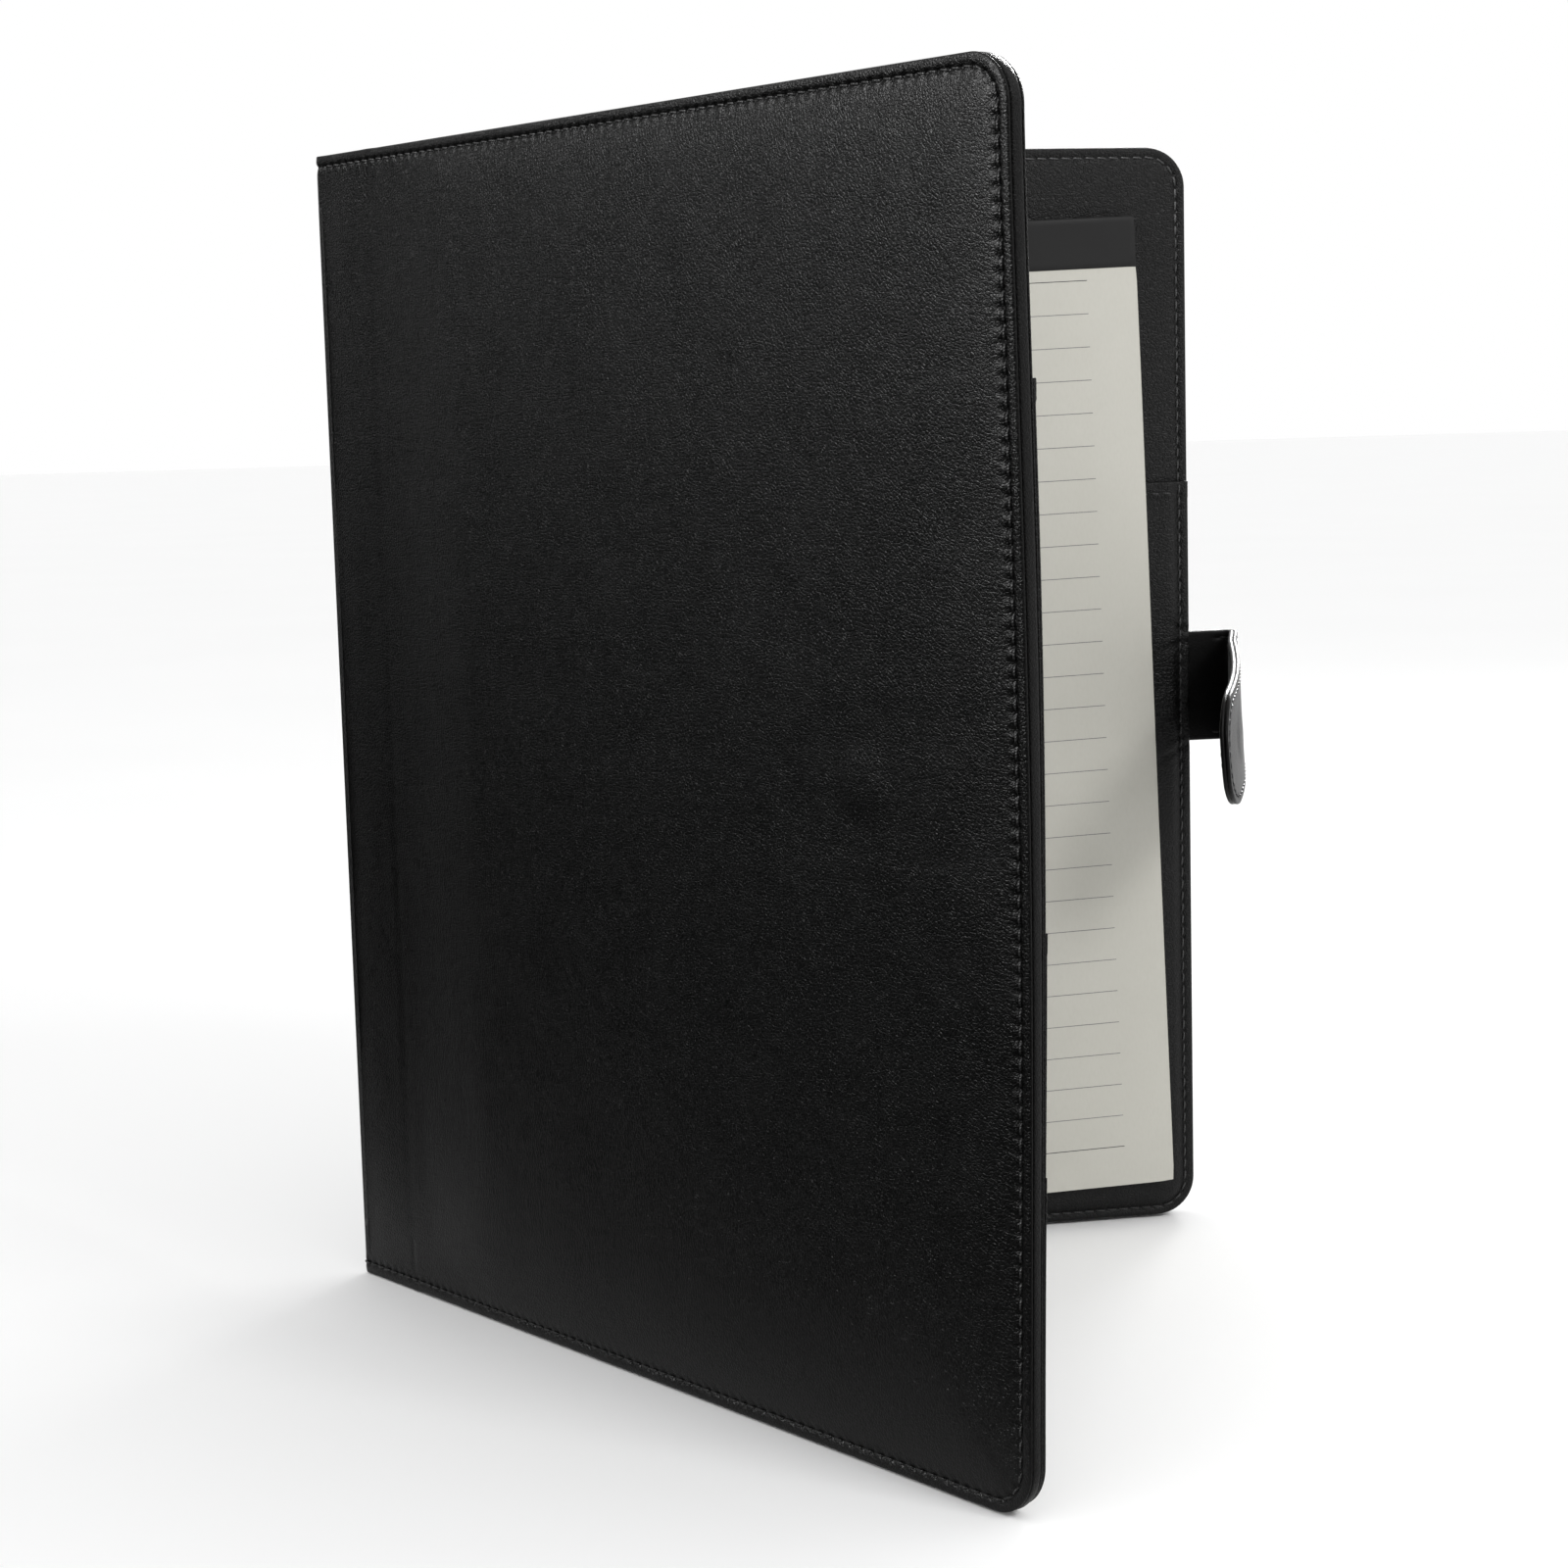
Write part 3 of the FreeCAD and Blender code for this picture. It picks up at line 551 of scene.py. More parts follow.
def back_face(u, z):
    inset, s = back_seam.coordinates(u, z)
    on_cover = smooth(u, 3.0, 14.0)
    h = SKIN + sewn_relief(inset, s) + crown(inset, 1.35) * on_cover
    inner = smooth(inset, 4.0, 12.0) * on_cover
    return h + inner * (soft_waves(u, z, 71) + 0.6 * fan_wrinkles(u, z, 91))


FACE_RINGS = [
    0.9, 1.3, 1.7, 2.1, 2.5, 2.8, 3.0, 3.2, 3.4, 3.65, 4.0, 4.4, 4.9, 5.5, 6.2, 7.0, 8.0, 9.2,
    10.6, 12.4, BORDER,
]
COVER_EDGE = [
    (BORDER, 0.0), (6.0, 0.0), (1.6, 0.0), (0.75, 0.01), (0.3, 0.05), (0.08, 0.12), (0.0, 0.24),
    (0.0, 0.46), (0.04, 0.62), (0.2, 0.70), (0.5, 0.735), (0.72, 0.75), (0.72, 0.765),
    (0.45, 0.78), (0.15, 0.80), (0.02, 0.85), (0.05, 0.91), (0.22, 0.96), (0.5, 0.99),
] + [(d, 1.0) for d in FACE_RINGS]


# Materials ----------------------------------------------------------------------------------


class Material:
    """A small builder for a node material."""

    def __init__(self, name, **settings):
        self.material = bpy.data.materials.new(name)
        self.material.use_nodes = True
        self.tree = self.material.node_tree
        self.shader = self.tree.nodes["Principled BSDF"]
        for socket, value in settings.items():
            self.shader.inputs[socket.replace("_", " ")].default_value = value

    def node(self, kind, inputs=None, **props):
        made = self.tree.nodes.new("ShaderNode" + kind)
        for key, value in props.items():
            setattr(made, key, value)
        for socket, value in (inputs or {}).items():
            self.put(made.inputs[socket], value)
        return made

    def put(self, socket, value):
        if isinstance(value, bpy.types.NodeSocket):
            self.tree.links.new(value, socket)
        else:
            socket.default_value = value

    def panel(self):
        return self.node("Attribute", attribute_name="panel").outputs["Vector"]

    def rest(self):
        return self.node("TexCoord").outputs["Object"]

    def math(self, operation, a, b=0.0, clamp=False):
        made = self.node("Math", operation=operation, use_clamp=clamp)
        self.put(made.inputs[0], a)
        self.put(made.inputs[1], b)
        return made.outputs[0]

    def span(self, value, low, high, to_low=0.0, to_high=1.0):
        inputs = {"Value": value, "From Min": low, "From Max": high, "To Min": to_low, "To Max": to_high}
        made = self.node("MapRange", inputs, interpolation_type="SMOOTHSTEP")
        return made.outputs["Result"]

    def stretch(self, vector, scale, turn=0.0):
        made = self.node("Mapping", {"Vector": vector, "Scale": scale, "Rotation": (0, 0, turn)})
        return made.outputs["Vector"]

    def noise(self, vector, scale, detail=2.0, roughness=0.5, distortion=0.0):
        made = self.node("TexNoise", {"Vector": vector, "Scale": scale, "Detail": detail,
                                      "Roughness": roughness, "Distortion": distortion})
        return made.outputs["Fac"]

    def cells(self, vector, scale, feature="DISTANCE_TO_EDGE"):
        made = self.node("TexVoronoi", {"Vector": vector, "Scale": scale}, feature=feature)
        return made.outputs["Distance"]

    def warp(self, vector, scale, amount):
        noise = self.node("TexNoise", {"Vector": vector, "Scale": scale, "Detail": 2.0})
        centred = self.node("VectorMath", operation="SUBTRACT")
        self.put(centred.inputs[0], noise.outputs["Color"])
        centred.inputs[1].default_value = (0.5, 0.5, 0.5)
        scaled = self.node("VectorMath", operation="SCALE")
        self.put(scaled.inputs[0], centred.outputs[0])
        scaled.inputs["Scale"].default_value = amount
        added = self.node("VectorMath", operation="ADD")
        self.put(added.inputs[0], vector)
        self.put(added.inputs[1], scaled.outputs[0])
        return added.outputs[0]

    def mix(self, factor, first, second):
        made = self.node("Mix", data_type="RGBA")
        self.put(made.inputs["Factor"], factor)
        self.put(made.inputs[6], first)
        self.put(made.inputs[7], second)
        return made.outputs[2]

    def bump(self, height, distance, strength=1.0, normal=None):
        inputs = {"Height": height, "Distance": distance, "Strength": strength}
        if normal is not None:
            inputs["Normal"] = normal
        return self.node("Bump", inputs).outputs["Normal"]

    def finish(self, colour=None, roughness=None, normal=None):
        for socket, value in (("Base Color", colour), ("Roughness", roughness), ("Normal", normal)):
            if value is not None:
                self.put(self.shader.inputs[socket], value)
        return self.material


def grey(value, warm=0.0):
    return (value * (1 + warm), value, value * (1 - warm), 1.0)


def leather(name, tone, gloss, grain, depth, shine, sheen=0.0):
    """Black coated leather: pebbled grain, fine flow lines, pores and slightly worn high spots."""
    m = Material(name, Specular_IOR_Level=shine, Sheen_Weight=sheen, Sheen_Roughness=0.25)
    at = m.panel()
    bent = m.warp(at, 90.0, 0.0016)
    pebbles = m.span(m.cells(bent, grain), 0.0, 0.22)
    small = m.span(m.cells(m.warp(at, 300.0, 0.0006), grain * 2.1), 0.0, 0.22)
    flow = m.noise(m.stretch(m.warp(at, 26.0, 0.012), (1.0, 0.28, 1.0), 0.5), 620.0, 3.0, 0.6)
    cross = m.noise(m.stretch(m.warp(at, 30.0, 0.010), (0.25, 1.0, 1.0), -0.4), 560.0, 3.0, 0.6)
    patch = m.noise(at, 17.0, 2.0)
    blend = m.span(patch, 0.35, 0.65)
    streaks = m.math("ADD", m.math("MULTIPLY", flow, blend),
                     m.math("MULTIPLY", cross, m.math("SUBTRACT", 1.0, blend)))
    lines = m.span(streaks, 0.36, 0.56)
    fine = m.noise(at, 3800.0, 2.0)
    height = m.math("ADD", m.math("MULTIPLY", pebbles, 0.5), m.math("MULTIPLY", small, 0.22))
    height = m.math("ADD", height, m.math("MULTIPLY", lines, 0.14))
    height = m.math("ADD", height, m.math("MULTIPLY", fine, 0.10))
    soft = m.noise(m.warp(at, 20.0, 0.01), 85.0, 3.0, 0.55)
    normal = m.bump(soft, 0.00035, 0.12)
    normal = m.bump(height, depth, 1.0, normal)
    worn = m.span(m.noise(at, 30.0, 4.0, 0.6), 0.45, 0.8)
    colour = m.mix(worn, grey(tone, 0.03), grey(tone * 1.5, 0.05))
    colour = m.mix(m.span(pebbles, 0.0, 0.5), grey(tone * 0.55), colour)
    rough = m.math("ADD", m.span(m.noise(at, 60.0, 3.0), 0.3, 0.7, gloss - 0.015, gloss + 0.02),
                   m.math("MULTIPLY", m.math("SUBTRACT", 1.0, lines), 0.03))
    return m.finish(colour, rough, normal)


def thread(name, tone, shine):
    """Twisted polyester thread."""
    m = Material(name, Specular_IOR_Level=shine)
    at = m.panel()
    twist = m.node("TexWave", {"Vector": m.stretch(at, (1.0, 0.9, 1.0), 0.6), "Scale": 520.0,
                               "Distortion": 1.5, "Detail": 1.0}, wave_type="BANDS").outputs["Fac"]
    colour = m.mix(twist, grey(tone * 0.3), grey(tone))
    return m.finish(colour, m.span(twist, 0.0, 1.0, 0.55, 0.38), m.bump(twist, 0.00008))


def paper_sheet(name):
    m = Material(name, Specular_IOR_Level=0.3)
    at = m.panel()
    fibres = m.noise(m.stretch(at, (1.0, 0.35, 1.0), 0.3), 1500.0, 3.0, 0.6)
    cloud = m.noise(at, 24.0, 3.0)
    colour = m.mix(m.span(cloud, 0.3, 0.7), (0.51, 0.50, 0.45, 1), (0.53, 0.52, 0.47, 1))
    colour = m.mix(m.span(fibres, 0.35, 0.75, 0.0, 0.25), colour, (0.47, 0.46, 0.41, 1))
    return m.finish(colour, m.span(fibres, 0.2, 0.8, 0.62, 0.75), m.bump(fibres, 0.00001))


def ruled_ink(name, tone):
    m = Material(name, Specular_IOR_Level=0.2)
    at = m.panel()
    broken = m.noise(at, 2600.0, 2.0)
    return m.finish(m.mix(m.span(broken, 0.4, 0.75), grey(tone), grey(tone * 1.5)), 0.7,
                    m.bump(broken, 0.000004))


def binding_tape(name):
    """Smooth dark paper tape over the top of the pad, with a faint weave."""
    m = Material(name, Specular_IOR_Level=0.22)
    at = m.panel()
    bands = [m.node("TexWave", {"Vector": at, "Scale": 900.0}, bands_direction=axis) for axis in "XY"]
    weave = m.math("MULTIPLY", *(band.outputs["Fac"] for band in bands))
    cloud = m.noise(at, 70.0, 3.0)
    return m.finish(m.mix(cloud, grey(0.007), grey(0.010)), m.span(cloud, 0.3, 0.7, 0.42, 0.55),
                    m.bump(weave, 0.00001))


def card_board(name):
    m = Material(name, Specular_IOR_Level=0.3)
    at = m.panel()
    specks = m.noise(at, 900.0, 4.0, 0.7)
    return m.finish(m.mix(m.span(specks, 0.35, 0.7), (0.20, 0.165, 0.12, 1), (0.29, 0.245, 0.185, 1)),
                    m.span(specks, 0.3, 0.7, 0.7, 0.9), m.bump(specks, 0.00002))


LEATHER = leather("outer_leather", 0.0018, 0.34, 1050.0, 0.00010, 0.115)
LINING_LEATHER = leather("lining_leather", 0.0022, 0.32, 850.0, 0.00016, 0.21)
STRAP_LEATHER = leather("strap_leather", 0.0020, 0.36, 1050.0, 0.00006, 0.13, 0.12)
THREAD = thread("black_thread", 0.012, 0.3)
INNER_THREAD = thread("glossy_thread", 0.035, 0.7)
PAPER = paper_sheet("pad_paper")
INK = ruled_ink("rule_ink", 0.17)
DARK_INK = ruled_ink("dark_rule_ink", 0.04)
TAPE = binding_tape("pad_tape")
CARD = card_board("pad_card")


# Covers -------------------------------------------------------------------------------------


def make_skins():
    front = panel_object(
        "front_cover_skin", Outline(front_seam.start, FRONT_WIDTH, HEIGHT), SKIN_STEP, SKIN_FINE,
        COVER_EDGE, front_face, front_depth, FRONT.place, LEATHER,
    )
    blend_front(front)
    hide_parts("front_outer_leather", "front_foam", "front_board", "front_crease_leather",
                "spine_outer_leather", "spine_board", "closure_steel_disc")

    back = panel_object(
        "back_cover_skin", Outline(back_seam.start, back_seam.width, HEIGHT), SKIN_STEP, SKIN_FINE,
        COVER_EDGE, back_face, back_depth, FOLD.place, LEATHER,
    )
    blend_back(back)
    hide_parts("back_outer_leather", "back_foam", "back_board", "back_crease_leather",
                "strap_anchor")


def next_to(crease, along, reach):
    """A point beside a crease, at the strap's height and in metres."""
    return tuple(np.append(crease + reach * along, STRAP_MIDDLE) * MM)


def blend_back(piece):
    start, end = next_to(A, BACK_ALONG, 3.0), next_to(A, ACROSS, 3.0)
    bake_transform(piece)
    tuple(start)
    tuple(end)


def blend_front(piece):
    start, end = next_to(B, ACROSS, 4.0), next_to(B, ACROSS, -4.0)
    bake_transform(piece)
    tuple(start)
    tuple(end)


def blend_tab(piece):
    start, end = next_to(Q, BRIDGE_ALONG, -3.2), next_to(Q, TAB_ALONG, 3.2)
    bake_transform(piece)
    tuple(start)
    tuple(end)


def make_outer_stitches():
    for name, seam, face, place, follow, nodes in (
        ("front_cover_stitches", front_seam, front_face, FRONT.place, blend_front,
         ("front_seam_thread", "spine_seam_thread")),
        ("back_cover_stitches", back_seam, back_face, FOLD.place, blend_back, ("back_seam_thread",)),
    ):
        centre, travel, normal = seam_stitches(place, face, seam)
        piece = stitch_object(name, centre + normal * 0.12, travel, normal, THREAD)
        follow(piece)
        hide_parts(*nodes)


# Inside -------------------------------------------------------------------------------------

LINING_RINGS = [1.0, 1.6, 2.1, 2.6, 2.9, 3.2, 3.5, 3.9, 4.5, 5.3, 6.5, 8.2, 10.8, BORDER]
LINING_EDGE = [
    (BORDER, 0.0), (3.0, 0.0), (0.6, 0.0), (0.34, 0.18), (0.26, 0.45), (0.32, 0.72), (0.58, 0.93),
] + [(d, 1.0) for d in LINING_RINGS]
LINING_START = reach_of("front_lining", FRONT)[0]
BACK_LINING_START = reach_of("back_lining", BACK)[0]
SLOT_START, _, SLOT_BOTTOM, SLOT_TOP = reach_of("pad_slot_panel", BACK)
LINING_FACE = COVER_DEPTH + LINING
HEM = 5.0
HEM_STITCH = 1.2

front_inner_seam = Seam(LINING_START, FRONT_WIDTH)
back_inner_seam = Seam(BACK_LINING_START, BACK_WIDTH)


def front_inside(u, z, h):
    return FRONT.place(u, z, -h)


def back_inside(u, z, h):
    return BACK.place(u, z, -h)


def lining_waves(u, z, seed):
    return 0.10 * ripple(u / 30, z / 36, seed) + 0.05 * ripple(u / 11, z / 14, seed + 1)


def lining_face(seam, u, z, plump, slack, seed):
    inset, s = seam.coordinates(u, z)
    waves = slack * smooth(inset, 4.0, 12.0) * lining_waves(u, z, seed)
    return LINING_FACE + sewn_relief(inset, s, 0.7) + crown(inset, plump) + waves


def front_lining_face(u, z):
    return lining_face(front_inner_seam, u, z, 0.35, 1.0, 131)


def back_lining_face(u, z):
    return lining_face(back_inner_seam, u, z, 0.6, 0.8, 151) + strap_creases(u, z)


def strap_creases(u, z):
    """Short creases where the strap pulls on the fore edge, at its top and bottom corner."""
    total = 0.0
    for corner, lean in ((STRAP_HIGH, 0.5), (STRAP_HIGH - 3, -0.2), (STRAP_LOW, -0.5)):
        reach = smooth(u, BACK_WIDTH - 16, BACK_WIDTH - 5)
        line = z - corner - lean * (BACK_WIDTH - u)
        total = total + reach * (-0.30 * bell(line, 0.9) + 0.16 * bell(line - 1.6, 1.1))
    return total


def hem_rise(z, top):
    return 0.55 * smooth(z, top - HEM - 0.5, top - HEM + 0.3) - 0.18 * bell(z - (top - HEM + 1.2), 0.5)


class Pocket:
    """A pocket panel on the front lining; its mouth stands a little open in the middle."""

    def __init__(self, node, base, slack, pressed):
        self.node, self.base, self.slack, self.pressed = node, base, slack, pressed
        self.start, self.width, self.bottom, self.top = reach_of(node, FRONT)

    def mouth(self, u, z):
        across = np.sin(np.clip((u - self.start) / (self.width - self.start), 0, 1) * math.pi)
        return self.slack * across * smooth(z, self.top - 70, self.top)

    def under(self, u, z):
        return self.base(u, z) - 0.12 + self.mouth(u, z)

    def face(self, u, z):
        inset, _ = front_inner_seam.coordinates(u, z)
        full = self.pressed + (1 - self.pressed) * smooth(inset, 1.0, 12.0)
        return self.base(u, z) + (LINING + hem_rise(z, self.top)) * full + self.mouth(u, z)


document_pocket = Pocket("document_pocket", front_lining_face, 0.7, 0.9)
middle_pocket = Pocket("middle_pocket", document_pocket.face, 0.5, 0.5)
lower_pocket = Pocket("lower_pocket", middle_pocket.face, 0.5, 0.35)
POCKETS = (document_pocket, middle_pocket, lower_pocket)


def slot_face(u, z):
    """The pad slot's panel stands off the lining, and its seams pull it down at the edges."""
    inset, s = back_inner_seam.coordinates(u, z)
    off = smooth(inset, 3.2, 6.2) * smooth(u, SLOT_START + 1.5, SLOT_START + 5)
    low = LINING_FACE + LINING + 0.1 + sewn_relief(inset, s, 0.7)
    high = reach_depth("pad_slot_panel")
    side_channel = -0.35 * bell(u - SLOT_START - 2.0, 0.6)
    return low + (high - low) * off + side_channel + 0.6 * hem_rise(z, SLOT_TOP) + strap_creases(u, z)


def reach_depth(node):
    return -BACK.local(node_points(node))[1].min()


def slot_under(u, z):
    return slot_face(u, z) - LINING - 0.6 * hem_rise(z, SLOT_TOP)


def inner_front_level(u, z):
    """The face nearest the reader, whichever pocket that is."""
    h = front_lining_face(u, z)
    for pocket in POCKETS:
        h = np.where(z < pocket.top - 0.5, pocket.face(u, z), h)
    return h


def inner_back_level(u, z):
    return np.where((z < SLOT_TOP - 0.5) & (u > SLOT_START), slot_face(u, z), back_lining_face(u, z))


def make_linings():
    front = panel_object(
        "front_lining_panel", Outline(LINING_START, FRONT_WIDTH, HEIGHT), LINING_STEP, LINING_FINE,
        LINING_EDGE, front_lining_face, level_at(COVER_DEPTH), front_inside, LINING_LEATHER,
    )
    back = panel_object(
        "back_lining_panel", Outline(BACK_LINING_START, BACK_WIDTH, HEIGHT), LINING_STEP, LINING_FINE,
        LINING_EDGE, back_lining_face, level_at(COVER_DEPTH), back_inside, LINING_LEATHER,
    )
    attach(front, "front_cover")
    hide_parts("front_lining")
    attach(back, "back_cover")
    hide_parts("back_lining")
    slot = panel_object(
        "pad_slot", Outline(SLOT_START, BACK_WIDTH, SLOT_TOP, SLOT_BOTTOM - 0.5, square_top=True),
        LINING_STEP, LINING_FINE, LINING_EDGE, slot_face, slot_under, back_inside, LINING_LEATHER,
    )
    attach(slot, "back_cover")
    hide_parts("pad_slot_panel", "slot_hem_left", "slot_hem_bottom", "slot_hem_right")
    for pocket in POCKETS:
        piece = panel_object(
            pocket.node + "_panel",
            Outline(pocket.start, FRONT_WIDTH, pocket.top, pocket.bottom - 0.5, square_top=True),
            LINING_STEP, LINING_FINE, LINING_EDGE, pocket.face, pocket.under, front_inside,
            LINING_LEATHER,
        )
        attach(piece, "front_cover")
        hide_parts(pocket.node)


def line_stitches(place, level, start, end, pitch=PITCH):
    """Centres, travels and normals of a straight row of stitches from start to end, both (u, z)."""
    start, end = np.array(start, float), np.array(end, float)
    length = np.linalg.norm(end - start)
    t = (np.arange(int(length / pitch)) + 0.5) * pitch / length
    points = start + t[:, None] * (end - start)
    angle = np.full(len(t), math.atan2(end[1] - start[1], end[0] - start[0]))
    return surface_frame(place, level, points[:, 0], points[:, 1], angle)


def seam_stitches(place, level, seam):
    s = (np.arange(int(seam.length / PITCH)) + 0.5) * PITCH
    u, z, angle = seam.point(s)
    return surface_frame(place, level, u, z, angle)


def join_rows(rows):
    return [np.concatenate(part) for part in zip(*rows)]


def make_inner_stitches():
    rows = [seam_stitches(front_inside, inner_front_level, front_inner_seam)]
    for pocket in POCKETS:
        z = pocket.top - HEM + HEM_STITCH
        ends = (pocket.start + 3, z), (FRONT_WIDTH - 5, z)
        rows.append(line_stitches(front_inside, pocket.face, *ends))
    side = document_pocket.start + 2.2
    rows.append(line_stitches(front_inside, inner_front_level, (side, 5), (side, HEIGHT - 5)))
    centre, travel, normal = join_rows(rows)
    front = stitch_object("front_inner_stitches", centre + 0.1 * normal, travel, normal, INNER_THREAD)
    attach(front, "front_cover")
    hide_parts("front_bobbin_thread")
    z = SLOT_TOP - HEM + HEM_STITCH
    side = SLOT_START + 2.0
    edge = BACK_LINING_START + 2.4
    centre, travel, normal = join_rows([
        seam_stitches(back_inside, inner_back_level, back_inner_seam),
        line_stitches(back_inside, slot_face, (SLOT_START + 3, z), (BACK_WIDTH - 5, z)),
        line_stitches(back_inside, slot_face, (side, 5), (side, SLOT_TOP - 2)),
        line_stitches(back_inside, back_lining_face, (edge, 5), (edge, HEIGHT - 5)),
    ])
    back = stitch_object("back_inner_stitches", centre + 0.1 * normal, travel, normal, INNER_THREAD)
    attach(back, "back_cover")
    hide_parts("back_bobbin_thread")


# Rows of a lining strip, measured in from either end.
STRIP_END_ROWS = np.array([0.0, 0.0, 0.12, 0.4, 0.9, 1.6, 2.4, 3.0, 3.6, 4.6, 6.0])


def strip_object(name, path, thickness, material):
    """A strip of lining that follows a path seen from above, from the bottom edge to the top."""
    path = np.asarray(path, float)
    for _ in range(3):
        cut = np.empty((2 * len(path) - 2, 2))
        cut[0::2] = 0.75 * path[:-1] + 0.25 * path[1:]
        cut[1::2] = 0.25 * path[:-1] + 0.75 * path[1:]
        path = np.vstack([path[:1], cut, path[-1:]])
    step = np.gradient(path, axis=0)
    along = step / np.linalg.norm(step, axis=1, keepdims=True)
    normal = np.stack([along[:, 1], -along[:, 0]], axis=1)
    reach = np.concatenate([[0], np.cumsum(np.linalg.norm(np.diff(path, axis=0), axis=1))])
    low, high = 0.7, HEIGHT - 0.7
    rows = np.concatenate([
        low + STRIP_END_ROWS,
        np.linspace(9, HEIGHT - 9, 60),
        high - STRIP_END_ROWS[::-1],
    ])
    sink = np.zeros(len(rows))
    sink[[0, -1]] = thickness
    sink[[1, -2]] = 0.5 * thickness
    sink[[2, -3]] = 0.2 * thickness
    inset = np.minimum(rows, HEIGHT - rows)
    sink = sink + 0.3 * bell(inset - SEAM_INSET, 0.7)
    wave = 0.07 * ripple(reach[:, None] / 3.0, rows[None, :] / 40, 207)
    wave = wave * smooth(inset, 5, 12)[None, :]
    drop = (sink[None, :] + wave)[..., None]
    face = path[:, None, :] - drop * normal[:, None, :]
    under = np.broadcast_to((path - thickness * normal)[:, None, :], face.shape)
    grid_z = np.broadcast_to(rows[None, :, None], face.shape[:2] + (1,))
    count, tall = face.shape[:2]
    sheets = [np.concatenate([part, grid_z], axis=-1).reshape(-1, 3) for part in (face, under)]
    base = count * tall
    faces = []
    for i in range(count - 1):
        for j in range(tall - 1):
            a = i * tall + j
            faces.append([a, a + tall, a + tall + 1, a + 1])
            faces.append([base + a + 1, base + a + tall + 1, base + a + tall, base + a])
        for j in (0, tall - 1):
            a = i * tall + j
            faces.append([a, a + tall, base + a + tall, base + a])
    for i in (0, count - 1):
        for j in range(tall - 1):
            a = i * tall + j
            faces.append([a, a + 1, base + a + 1, base + a])
    space = np.stack([np.repeat(reach, tall), np.tile(rows, count), np.zeros(base)], axis=1)
    return make_object(name, np.vstack(sheets), faces, material, np.vstack([space, space]), sharp=60)


def make_hinge_linings():
    middle = SPINE_WIDTH / 2
    front = [(7.5, 4.9), (5.4, 4.95), (4.2, 4.4), (2.6, 2.9), (1.2, 2.0), (0, 1.75), (-1.2, 1.95),
             (-3, 2.5), (-5, 2.8), (-8, 2.85), (-middle, 2.85)]
    path = [B + u * ACROSS + depth * INWARD for u, depth in front]
    piece = strip_object("front_hinge_lining", path, 0.8, LINING_LEATHER)
    blend_front(piece)
    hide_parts("spine_lining")
    spine_side = [(middle, 2.85), (8, 2.85), (6, 2.6), (4.2, 2.0), (2.8, 1.35)]
    back_side = [(2.8, 1.35), (4.2, 2.1), (6, 3.0), (8.2, 4.2), (10, 4.85), (11.6, 4.95), (14.5, 4.9)]
    path = [A + v * ACROSS + depth * INWARD for v, depth in spine_side]
    path += [A + 1.9 * unit(ACROSS + BACK_ALONG)]
    path += [A + v * BACK_ALONG - depth * np.array([0.0, 1.0]) for v, depth in back_side]
    piece = strip_object("back_hinge_lining", path[::-1], 0.7, LINING_LEATHER)
    blend_back(piece)


# Strap --------------------------------------------------------------------------------------

STRAP_FOLD_RADIUS = 2.4
STRAP_THICK = 1.25
STRAP_INSET = 2.3
STRAP_PITCH = 3.2
STRAP_STEP, STRAP_FINE = 1.5, 3
# The tab leans in along its length, bows out between two points and twists towards its lower edge.
TAB_LEAN, TAB_BOW, TAB_TWIST = 0.011, 2.3, 0.06
TAB_BOW_START, TAB_BOW_SPAN = 8, 66
STRAP_RINGS = [0.7, 1.1, 1.5, 1.9, 2.1, 2.3, 2.5, 2.8, 3.3, 4.2, 6.0]
STRAP_EDGE = (
    [(d, 0.0) for d in STRAP_RINGS[::-1]]
    + [(0.4, 0.015), (0.16, 0.06), (0.03, 0.15), (0.0, 0.28), (0.05, 0.40), (0.2, 0.465), (0.28, 0.5),
       (0.2, 0.535), (0.05, 0.60), (0.0, 0.72), (0.03, 0.85), (0.16, 0.94), (0.4, 0.985)]
    + [(d, 1.0) for d in STRAP_RINGS]
)


def tab_axes():
    """The tab's direction seen from above and how far it hangs below level."""
    magnet = node_points("tab_magnet")
    middle = magnet.mean(axis=0)
    aim = middle[:2] - Q
    drop = STRAP_MIDDLE - middle[2]
    return unit(aim), math.atan2(drop, np.linalg.norm(aim)), math.hypot(drop, np.linalg.norm(aim))


TAB_ALONG, TAB_DROOP, MAGNET_AT = tab_axes()
EXTRA_DROOP = 0.03
BRIDGE_ALONG = unit(Q - R)
BRIDGE_LENGTH = float(np.linalg.norm(Q - R))
TAB_FOLD = Bend(Q, BRIDGE_ALONG, TAB_ALONG, STRAP_FOLD_RADIUS)


def strap_place(u, z, h):
    """Round the fold, and below level once past it."""
    u, z, h = np.broadcast_arrays(np.asarray(u, float), z, h)
    droop = (TAB_DROOP + EXTRA_DROOP) * smooth(u, -2.0, 9.0)
    past = np.maximum(u, 0) + TAB_FOLD.reach - TAB_FOLD.half_arc
    up = z - STRAP_MIDDLE
    beyond = past * np.cos(droop) + up * np.sin(droop) - past
    along = np.where(u > 0, beyond, up * np.sin(droop) * smooth(u, -2, 0))
    arch = np.sin(np.clip((u - TAB_BOW_START) / TAB_BOW_SPAN, 0, 1) * math.pi)
    bowed = TAB_LEAN * np.maximum(u, 0) - TAB_BOW * arch
    twist = TAB_TWIST * smooth(u, 4.0, 60.0) * (STRAP_HALF - up)
    drop = past * np.sin(droop) * (u > 0)
    return TAB_FOLD.place(u + along, STRAP_MIDDLE + up * np.cos(droop) - drop, h - bowed + twist)


def lengths_along(u, z):
    """The length of a line of points up to each of them."""
    return np.concatenate([[0], np.cumsum(np.hypot(np.diff(u), np.diff(z)))])


